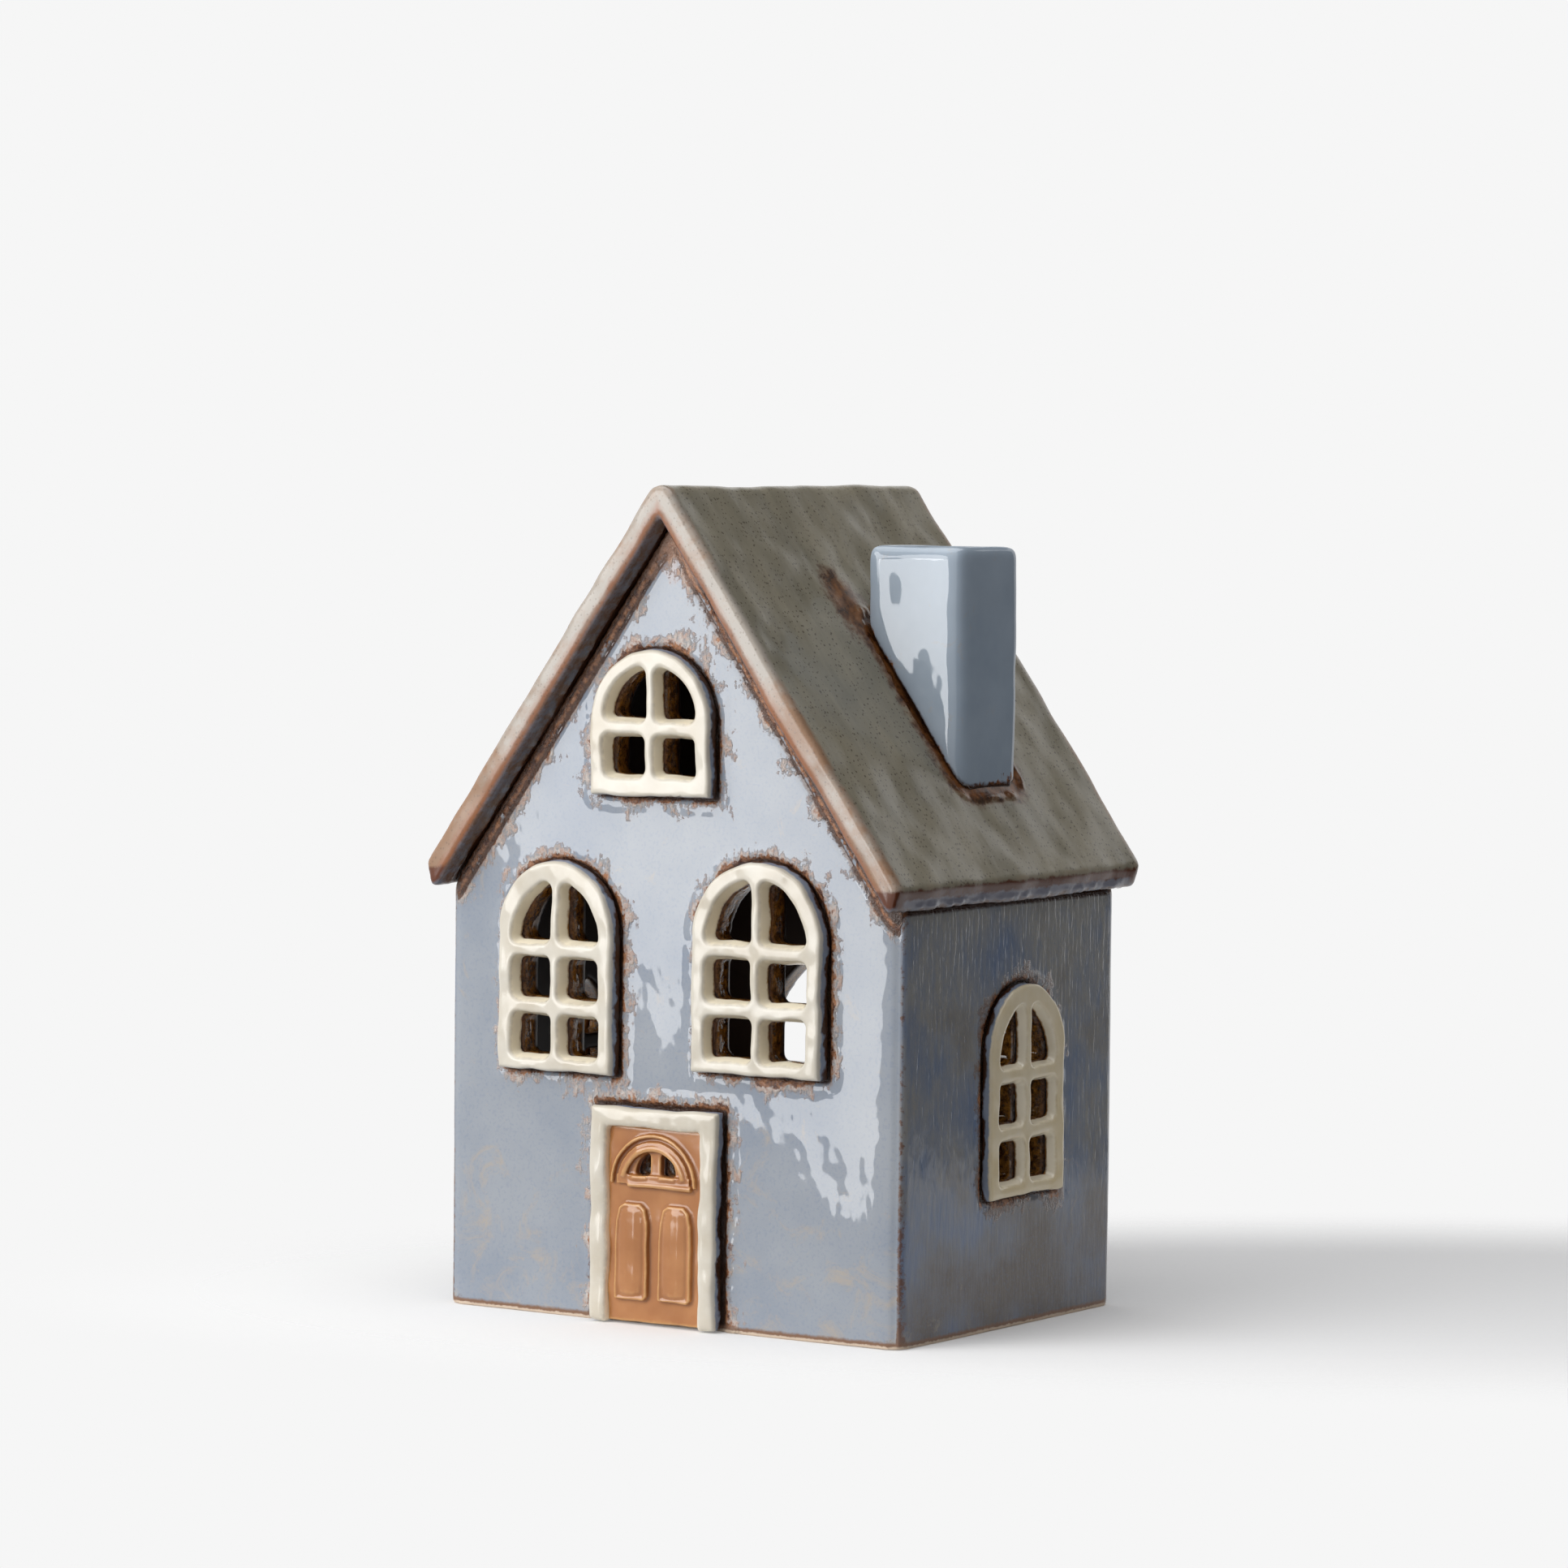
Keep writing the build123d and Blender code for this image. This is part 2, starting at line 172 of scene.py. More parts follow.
    even = add(tree, "GeometryNodeBlurAttribute", {"Value": place, "Iterations": given["Edge Blur"]},
               data_type="FLOAT_VECTOR")
    proud = add(tree, "ShaderNodeVectorMath", {0: place, 1: even}, operation="SUBTRACT")
    edge = add(tree, "ShaderNodeVectorMath", {0: proud, 1: normal}, out="Value", operation="DOT_PRODUCT")
    edge = add(tree, "ShaderNodeMath", {0: edge, 1: 1 / mm}, operation="MULTIPLY")
    kept = add(tree, "GeometryNodeStoreNamedAttribute", {"Geometry": moved, "Name": "edge", "Value": edge},
               data_type="FLOAT", domain="POINT")
    smooth = add(tree, "GeometryNodeSetShadeSmooth", {"Geometry": kept})
    real = add(tree, "GeometryNodeRealizeInstances", {"Geometry": smooth})
    dressed = add(tree, "GeometryNodeSetMaterial", {"Geometry": real, "Material": given["Material"]})
    add(tree, "NodeGroupOutput", {"Skin": dressed}, out=None)
    return tree


fired_clay = fired_clay_tree()


def gathered(label, nodes, rolls=()):
    """The surfaces of some CAD nodes, and of rolls of clay laid on them, in one loose object."""
    points = []
    faces = []
    for roll_points, roll_faces in rolls:
        faces += [[len(points) + i for i in face] for face in roll_faces]
        points += roll_points
    for node in nodes:
        mesh = frame["nodes"][node].data
        start = len(points)
        points += [vertex.co for vertex in mesh.vertices]
        faces += [[start + i for i in face.vertices] for face in mesh.polygons]
    mesh = bpy.data.meshes.new(label)
    mesh.from_pydata(points, [], faces)
    thing = bpy.data.objects.new(label, mesh)
    stage.link(thing)
    return thing


def fired(label, nodes, neighbours, cover, material, grain, rounds, depth, rolls=(), **sizes):
    """The fired skin of some nodes as one mesh.

    The solids are covered with an even skin of faces of the grain's size, worn round in some rounds, and put
    through the fired_clay tree. The function depth gives how far inside the outer skin each point lies.
    """
    clay = gathered(label, nodes, rolls)
    beside = gathered(label + "_beside", neighbours)
    over = gathered(label + "_over", cover)
    clay.modifiers.new("weld", "WELD").merge_threshold = 0.01 * mm
    skin = clay.modifiers.new("skin", "REMESH")
    skin.mode = "VOXEL"
    skin.voxel_size = grain * mm
    worn = clay.modifiers.new("worn", "SMOOTH")
    worn.factor = 0.5
    worn.iterations = rounds
    kiln = clay.modifiers.new("kiln", "NODES")
    kiln.node_group = fired_clay
    values = {"Wave Length": 40.0, "Ripple Length": 7.0, "Wobble Length": 20.0, "Groove Width": 1.0,
              "Lip Reach": 1.8, "Line Reach": 2.4, "Edge Blur": 24, "Neighbours": beside, "Cover": over,
              "Material": material}
    values.update({name.replace("_", " ").title(): value for name, value in sizes.items()})
    for socket in fired_clay.interface.items_tree:
        if socket.in_out == "INPUT" and socket.name in values:
            kiln[socket.identifier] = values[socket.name]
    graph = bpy.context.evaluated_depsgraph_get()
    mesh = bpy.data.meshes.new_from_object(clay.evaluated_get(graph), preserve_all_data_layers=True,
                                           depsgraph=graph)
    mesh.name = label
    for spent in (beside, over, clay):
        bpy.data.objects.remove(spent)
    spots = numpy.empty(len(mesh.vertices) * 3)
    mesh.vertices.foreach_get("co", spots)
    spots[2::3] = numpy.maximum(spots[2::3], 0.0)
    mesh.vertices.foreach_set("co", spots)
    x, y, z = spots.reshape(-1, 3).T / mm
    inside = mesh.attributes.new("depth", "FLOAT", "POINT")
    inside.data.foreach_set("value", numpy.broadcast_to(depth(x, y, z), x.shape).astype("f"))
    normals = mesh.attributes.new("skin_normal", "FLOAT_VECTOR", "POINT")
    facing = numpy.empty(len(mesh.vertices) * 3, "f")
    mesh.vertices.foreach_get("normal", facing)
    normals.data.foreach_set("vector", facing)
    return mesh


def parted(mesh, label, cuts):
    """The piece of a skin on the kept side of each cut: a point in millimetres and the direction that is kept.

    The cuts are closed, and the piece keeps the shading of the whole skin, so the joint doesn't show.
    """
    work = bmesh.new()
    work.from_mesh(mesh)
    for point, kept_side in cuts:
        found = bmesh.ops.bisect_plane(work, geom=work.verts[:] + work.edges[:] + work.faces[:], dist=1e-7,
                                       plane_co=Vector(point) * mm, plane_no=kept_side, clear_inner=True)
        rim = [part for part in found["geom_cut"] if isinstance(part, bmesh.types.BMEdge)]
        cap = bmesh.ops.triangle_fill(work, edges=rim, use_beauty=True)["geom"]
        cap = [part for part in cap if isinstance(part, bmesh.types.BMFace)]
        bmesh.ops.reverse_faces(work, faces=[face for face in cap if face.normal.dot(Vector(kept_side)) > 0])
    piece = bpy.data.meshes.new(label)
    work.to_mesh(piece)
    work.free()
    for material in mesh.materials:
        piece.materials.append(material)
    facing = numpy.empty(len(piece.vertices) * 3, "f")
    piece.attributes["skin_normal"].data.foreach_get("vector", facing)
    facing = facing.reshape(-1, 3)
    facing /= numpy.maximum(numpy.linalg.norm(facing, axis=1, keepdims=True), 1e-6)
    piece.attributes.remove(piece.attributes["skin_normal"])
    piece.polygons.foreach_set("use_smooth", numpy.ones(len(piece.polygons), bool))
    piece.normals_split_custom_set_from_vertices(facing)
    return piece


def settle(label, mesh, node, body):
    """Puts a finished mesh in the scene in place of its CAD node."""
    if "skin_normal" in mesh.attributes:
        mesh.attributes.remove(mesh.attributes["skin_normal"])
    piece = bpy.data.objects.new(label, mesh)
    stage.link(piece)
    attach(piece, body)
    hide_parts(node)
    return piece


def blue_grey_glaze(name, deep, pale, end_deep_painted_shade, end_pale_painted_shade, broken=1.0, turned=0.0):
    """Reactive stoneware glaze, dipped and fired to a glassy gloss.

    To the eye: blue-grey with a fine mottle, streaked on the end walls and painted darker and bluer there as shade,
    pinkish and rust-brown where it runs thin beside luted pieces and over edges, honey to dark brown inside, and
    bare pale clay at the foot.
    Broken is how far the thinned borders and the specks show. A face that was wiped out of square is turned by a
    slope.
    """
    material = bpy.data.materials.new(name)
    material.use_nodes = True
    tree = material.node_tree
    tree.nodes.clear()
    place = add(tree, "ShaderNodeTexCoord", out="Object")
    sized = add(tree, "ShaderNodeVectorMath", {0: place, "Scale": 1 / mm}, operation="SCALE")
    seam = add(tree, "ShaderNodeAttribute", out="Fac", attribute_name="seam")
    cover = add(tree, "ShaderNodeAttribute", out="Fac", attribute_name="cover")
    edge = add(tree, "ShaderNodeAttribute", out="Fac", attribute_name="edge")
    depth = add(tree, "ShaderNodeAttribute", out="Fac", attribute_name="depth")
    across, along, height = add(tree, "ShaderNodeSeparateXYZ", {0: sized}, out=None).outputs
    # Clouds of 25 mm in the glaze, a mottle of 1.3 mm, specks of 0.6 mm, and vertical runs of 1 by 6 mm
    clouds = add(tree, "ShaderNodeTexNoise", {"Vector": sized, "Scale": 1 / 25, "Detail": 4.0, "Roughness": 0.6})
    mottle = add(tree, "ShaderNodeTexNoise", {"Vector": sized, "Scale": 1 / 1.3, "Detail": 4.0, "Roughness": 0.65})
    specks = add(tree, "ShaderNodeTexNoise", {"Vector": sized, "Scale": 1 / 0.6, "Detail": 2.0})
    flow = add(tree, "ShaderNodeMapping", {"Vector": sized, "Scale": (1.0, 1.0, 1 / 6)})
    runs = add(tree, "ShaderNodeTexNoise", {"Vector": flow, "Scale": 1.0, "Detail": 3.0, "Distortion": 0.3})
    end_wall = add(tree, "ShaderNodeMath", {0: across}, operation="ABSOLUTE")
    end_wall = add(tree, "ShaderNodeMapRange", {0: end_wall, 1: half_width - 1.2, 2: half_width - 0.4})
    cloudy = add(tree, "ShaderNodeMapRange", {0: clouds, 1: 0.35, 2: 0.65})
    colour = add(tree, "ShaderNodeMix", {0: cloudy, 6: linear(deep), 7: linear(pale)}, out=2, data_type="RGBA")
    # The runs start under the eaves and die away below, over blotches of 15 mm
    combed = add(tree, "ShaderNodeMapRange", {0: cover, 1: 1.0, 2: 26.0, 3: 0.6, 4: 0.45})
    washed = add(tree, "ShaderNodeMapRange", {0: cover, 1: 2.0, 2: 20.0, 3: 0.16, 4: 0.0})
    blotted = add(tree, "ShaderNodeTexNoise", {"Vector": sized, "Scale": 1 / 15, "Detail": 3.0})
    streaky = add(tree, "ShaderNodeMath", {0: runs, 1: 0.5}, operation="SUBTRACT")
    streaky = add(tree, "ShaderNodeMath", {0: streaky, 1: combed, 2: blotted}, operation="MULTIPLY_ADD")
    streaky = add(tree, "ShaderNodeMath", {0: streaky, 1: washed}, operation="ADD")
    streaky = add(tree, "ShaderNodeMapRange", {0: streaky, 1: 0.3, 2: 0.72})
    # The end walls take darker, bluer copies of the glaze's colours as painted shade, laid over real vertical runs
    end_streaks_painted_shade = add(tree, "ShaderNodeMix", {0: streaky, 6: linear(end_deep_painted_shade), 7: linear(end_pale_painted_shade)}, out=2,
               data_type="RGBA")
    # Towards the bottom the end walls turn darker and browner in blotches
    darker_low_blotches = add(tree, "ShaderNodeMapRange", {0: height, 1: 34.0, 2: 10.0, 3: -0.2, 4: 0.15})
    darker_low_blotches = add(tree, "ShaderNodeMath", {0: blotted, 1: darker_low_blotches}, operation="ADD")
    darker_low_blotches = add(tree, "ShaderNodeMapRange", {0: darker_low_blotches, 1: 0.4, 2: 0.75, 3: 0.0, 4: 0.75})
    end_streaks_painted_shade = add(tree, "ShaderNodeMix", {0: darker_low_blotches, 6: end_streaks_painted_shade, 7: linear("#54483f")}, out=2, data_type="RGBA")
    colour = add(tree, "ShaderNodeMix", {0: end_wall, 6: colour, 7: end_streaks_painted_shade}, out=2, data_type="RGBA")
    grain = add(tree, "ShaderNodeMapRange", {0: mottle, 1: 0.5, 2: 0.75, 3: 0.0, 4: 0.4})
    colour = add(tree, "ShaderNodeMix", {0: grain, 6: colour, 7: linear("#b9bcc0")}, out=2, data_type="RGBA",
                 blend_type="SOFT_LIGHT")
    dark = add(tree, "ShaderNodeMapRange", {0: specks, 1: 0.52, 2: 0.7, 3: 0.0, 4: 0.22 * broken})
    colour = add(tree, "ShaderNodeMix", {0: dark, 6: colour, 7: linear(end_deep_painted_shade)}, out=2, data_type="RGBA")
    warmth = add(tree, "ShaderNodeTexNoise", {"Vector": sized, "Scale": 1 / 9, "Detail": 6.0, "Roughness": 0.75,
                                              "Distortion": 0.8})
    low = add(tree, "ShaderNodeMapRange", {0: height, 1: 45.0, 2: 5.0, 3: 0.0, 4: 0.09})
    low = add(tree, "ShaderNodeMath", {0: end_wall, 1: -0.07, 2: low}, operation="MULTIPLY_ADD")
    warmth = add(tree, "ShaderNodeMath", {0: warmth, 1: low}, operation="ADD")
    warmth = add(tree, "ShaderNodeMapRange", {0: warmth, 1: 0.6, 2: 0.74, 3: 0.0, 4: 0.55})
    colour = add(tree, "ShaderNodeMix", {0: warmth, 6: colour, 7: linear("#b0a08c")}, out=2, data_type="RGBA")
    # A crust of 1.2 mm and a fringe of drips of 0.8 by 4 mm feather the borders of everything below
    crust = add(tree, "ShaderNodeTexNoise", {"Vector": sized, "Scale": 1 / 1.2, "Detail": 5.0, "Roughness": 0.7})
    ragged = add(tree, "ShaderNodeMath", {0: crust, 1: 7.0, 2: -3.5}, operation="MULTIPLY_ADD")
    drips = add(tree, "ShaderNodeMapping", {"Vector": sized, "Scale": (1 / 0.8, 1 / 0.8, 1 / 4)})
    drips = add(tree, "ShaderNodeTexNoise", {"Vector": drips, "Scale": 1.0, "Detail": 2.0})
    drips = add(tree, "ShaderNodeMapRange", {0: drips, 1: 0.35, 2: 0.7, 3: 0.7, 4: -0.9})
    blotch = add(tree, "ShaderNodeTexNoise", {"Vector": sized, "Scale": 1 / 6, "Detail": 2.0})
    reach = add(tree, "ShaderNodeMapRange", {0: blotch, 1: 0.35, 2: 0.68, 3: 1.6, 4: -2.4})
    spread = add(tree, "ShaderNodeMath", {0: ragged, 1: reach}, operation="ADD")
    spread = add(tree, "ShaderNodeMath", {0: spread, 1: drips}, operation="ADD")
    roof_near = add(tree, "ShaderNodeMath", {0: end_wall, 1: 9.0, 2: -1.2}, operation="MULTIPLY_ADD")
    roof_near = add(tree, "ShaderNodeMath", {0: cover, 1: roof_near}, operation="ADD")
    either = add(tree, "ShaderNodeMath", {0: seam, 1: roof_near}, operation="MINIMUM")
    far = add(tree, "ShaderNodeMath", {0: either, 1: spread}, operation="ADD")
    halo = add(tree, "ShaderNodeMapRange", {0: far, 1: 2.6, 2: 0.8, 3: 0.0, 4: 0.8 * broken})
    thinned = add(tree, "ShaderNodeMapRange", {0: crust, 1: 0.38, 2: 0.6})
    thinned = add(tree, "ShaderNodeMix", {0: thinned, 6: linear("#b08f7b"), 7: linear("#cfc6bd")}, out=2,
                  data_type="RGBA")
    browner = add(tree, "ShaderNodeMath", {0: end_wall, 1: 0.75}, operation="MULTIPLY")
    thinned = add(tree, "ShaderNodeMix", {0: browner, 6: thinned, 7: linear("#5e4636")}, out=2, data_type="RGBA")
    colour = add(tree, "ShaderNodeMix", {0: halo, 6: colour, 7: thinned}, out=2, data_type="RGBA")
    near = add(tree, "ShaderNodeMath", {0: spread, 1: 0.42, 2: either}, operation="MULTIPLY_ADD")
    rust = add(tree, "ShaderNodeMapRange", {0: near, 1: 0.3 + broken, 2: broken - 0.2})
    iron = add(tree, "ShaderNodeMapRange", {0: mottle, 1: 0.4, 2: 0.62})
    iron = add(tree, "ShaderNodeMix", {0: iron, 6: linear("#4e2815"), 7: linear("#a9744e")}, out=2,
               data_type="RGBA")
    colour = add(tree, "ShaderNodeMix", {0: rust, 6: colour, 7: iron}, out=2, data_type="RGBA")
    crease = add(tree, "ShaderNodeMath", {0: end_wall, 1: 2.0, 2: -0.5}, operation="MULTIPLY_ADD")
    crease = add(tree, "ShaderNodeMath", {0: cover, 1: crease}, operation="ADD")
    crease = add(tree, "ShaderNodeMath", {0: seam, 1: crease}, operation="MINIMUM")
    crease = add(tree, "ShaderNodeMath", {0: ragged, 1: 0.1, 2: crease}, operation="MULTIPLY_ADD")
    crease = add(tree, "ShaderNodeMapRange", {0: crease, 1: 0.9, 2: 0.4})
    colour = add(tree, "ShaderNodeMix", {0: crease, 6: colour, 7: linear("#3a2113")}, out=2, data_type="RGBA")
    # The line incised 2.4 mm under the roof's verges holds dark glaze
    scored = add(tree, "ShaderNodeMath", {0: end_wall, 1: 9.0, 2: cover}, operation="MULTIPLY_ADD")
    scored = add(tree, "ShaderNodeMath", {0: scored, 1: 2.4}, operation="SUBTRACT")
    scored = add(tree, "ShaderNodeMath", {0: scored}, operation="ABSOLUTE")
    scored = add(tree, "ShaderNodeMath", {0: ragged, 1: 0.1, 2: scored}, operation="MULTIPLY_ADD")
    scored = add(tree, "ShaderNodeMapRange", {0: scored, 1: 0.6, 2: 0.3, 3: 0.0, 4: 0.9})
    colour = add(tree, "ShaderNodeMix", {0: scored, 6: colour, 7: linear("#4a2c1a")}, out=2, data_type="RGBA")
    # Under the ridge the glaze is thin and peach-coloured
    apex = add(tree, "ShaderNodeMath", {0: spread, 1: -1.0, 2: height}, operation="MULTIPLY_ADD")
    gable = add(tree, "ShaderNodeMath", {0: along}, operation="ABSOLUTE")
    gable = add(tree, "ShaderNodeMapRange", {0: gable, 1: half_depth - 4, 2: half_depth - 3, 3: 0.0, 4: 0.65})
    apex = add(tree, "ShaderNodeMapRange", {0: apex, 1: 133.0, 2: 139.0, 3: 0.0, 4: gable})
    colour = add(tree, "ShaderNodeMix", {0: apex, 6: colour, 7: linear("#b8917a")}, out=2, data_type="RGBA")
    # Edges stand out by tenths of a millimetre, where the glaze runs off them
    wear = add(tree, "ShaderNodeMath", {0: ragged, 1: 0.11, 2: edge}, operation="MULTIPLY_ADD")
    rubbed = add(tree, "ShaderNodeMapRange", {0: height, 1: 36.0, 2: 12.0, 3: 0.0, 4: 0.09})
    wear = add(tree, "ShaderNodeMath", {0: wear, 1: rubbed}, operation="ADD")
    wear = add(tree, "ShaderNodeMapRange", {0: wear, 1: 0.32, 2: 0.42, 3: 0.0, 4: 0.8 * broken})
    colour = add(tree, "ShaderNodeMix", {0: wear, 6: colour, 7: linear("#6b4730")}, out=2, data_type="RGBA")
    # Inside: honey on the cut edges of the slab, dark brown on its back
    within = add(tree, "ShaderNodeMapRange", {0: depth, 1: 0.7, 2: 1.4})
    behind = add(tree, "ShaderNodeMapRange", {0: depth, 1: 3.6, 2: 5.0})
    honey = add(tree, "ShaderNodeMapRange", {0: crust, 1: 0.4, 2: 0.65})
    honey = add(tree, "ShaderNodeMix", {0: honey, 6: linear("#4a2a10"), 7: linear("#b98238")}, out=2,
                data_type="RGBA")
    lining = add(tree, "ShaderNodeMix", {0: behind, 6: honey, 7: linear("#2e1b0e")}, out=2, data_type="RGBA")
    colour = add(tree, "ShaderNodeMix", {0: within, 6: colour, 7: lining}, out=2, data_type="RGBA")
    # The foot: a wiped rim of bare clay 0.5 mm high with a brown line over it
    foot = add(tree, "ShaderNodeMath", {0: ragged, 1: 0.12, 2: height}, operation="MULTIPLY_ADD")
    line = add(tree, "ShaderNodeMapRange", {0: foot, 1: 1.5, 2: 1.0})
    colour = add(tree, "ShaderNodeMix", {0: line, 6: colour, 7: linear("#7a5a44")}, out=2, data_type="RGBA")
    bare = add(tree, "ShaderNodeMapRange", {0: foot, 1: 0.7, 2: 0.45})
    colour = add(tree, "ShaderNodeMix", {0: bare, 6: colour, 7: linear("#c9b5a0")}, out=2, data_type="RGBA")
    gloss = add(tree, "ShaderNodeMapRange", {0: rust, 3: 0.03, 4: 0.16})
    gloss = add(tree, "ShaderNodeMapRange", {0: bare, 3: gloss, 4: 0.7})
    gloss = add(tree, "ShaderNodeMapRange", {0: behind, 3: gloss, 4: 0.4})
    blister = add(tree, "ShaderNodeMapRange", {0: far, 1: 2.2, 2: 0.6, 3: 0.0, 4: 0.5 * broken})
    relief = add(tree, "ShaderNodeMath", {0: crust, 1: blister}, operation="MULTIPLY")
    streaked = add(tree, "ShaderNodeMath", {0: runs, 1: end_wall}, operation="MULTIPLY")
    streaked = add(tree, "ShaderNodeMath", {0: streaked, 1: combed}, operation="MULTIPLY")
    relief = add(tree, "ShaderNodeMath", {0: streaked, 1: 0.25, 2: relief}, operation="MULTIPLY_ADD")
    slope = add(tree, "ShaderNodeMath", {0: across, 1: turned, 2: relief}, operation="MULTIPLY_ADD")
    bump = add(tree, "ShaderNodeBump", {"Height": slope, "Distance": mm})
    shader = add(tree, "ShaderNodeBsdfPrincipled", {"Base Color": colour, "Roughness": gloss, "Normal": bump,
                                                    "IOR": 1.52})
    add(tree, "ShaderNodeOutputMaterial", {"Surface": shader}, out=None)
    return material


half_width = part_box("right_wall")[1][0] / mm
half_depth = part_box("back_wall")[1][1] / mm
wall_glaze = blue_grey_glaze("blue_grey_stoneware_glaze_dipped", "#878f9b", "#979ca3", "#6b7a94", "#93928f")
walls = fired("walls", ["front_wall", "right_wall", "back_wall", "left_wall"],
              ["attic_window", "front_left_window", "front_right_window", "right_window", "left_window",
               "door_frame", "door_leaf"], ["roof_left", "roof_right"],
              wall_glaze, 0.5, 6, lambda x, y, z: numpy.minimum(half_width - abs(x), half_depth - abs(y)),
              wave_height=0.16, wave_length=36.0, ripple_height=0.07, ripple_length=6.0, wobble=0.14,
              wobble_length=40.0, groove_depth=0.6, groove_width=1.2, lip_height=0.22, lip_reach=2.0,
              line_depth=0.45, cover_shift=1.6, corner_start=43.0, corner_drop=0.012, seed=1.0)
front_left = (-half_width, -half_depth, 0)
front_right = (half_width, -half_depth, 0)
back_left = (-half_width, half_depth, 0)
back_right = (half_width, half_depth, 0)
for node, cuts in {
    "front_wall": [(front_left, (1, -1, 0)), (front_right, (-1, -1, 0))],
    "right_wall": [(front_right, (1, 1, 0)), (back_right, (1, -1, 0))],
    "back_wall": [(back_left, (1, 1, 0)), (back_right, (-1, 1, 0))],
    "left_wall": [(front_left, (-1, 1, 0)), (back_left, (-1, -1, 0))],
}.items():
    settle("glazed_" + node, parted(walls, node, cuts), node, "house")

# The floor.
# A plain slab between the walls that the tealight stands on, with the brown lining glaze run thinly over it.

floor_skin = fired("glazed_floor", ["floor_slab"], ["front_wall", "right_wall", "back_wall", "left_wall"],
                   ["roof_left"], wall_glaze, 0.7, 4, lambda x, y, z: 2.5 + z * 0.0, wave_height=0.1, seed=2.0)
settle("glazed_floor", floor_skin, "floor_slab", "house")

# The roof.
# Two slabs mitred together at the ridge and laid over the gables, brushed with an olive-brown glaze. It is
# satin, freckled with iron and pale on the rounded edges.

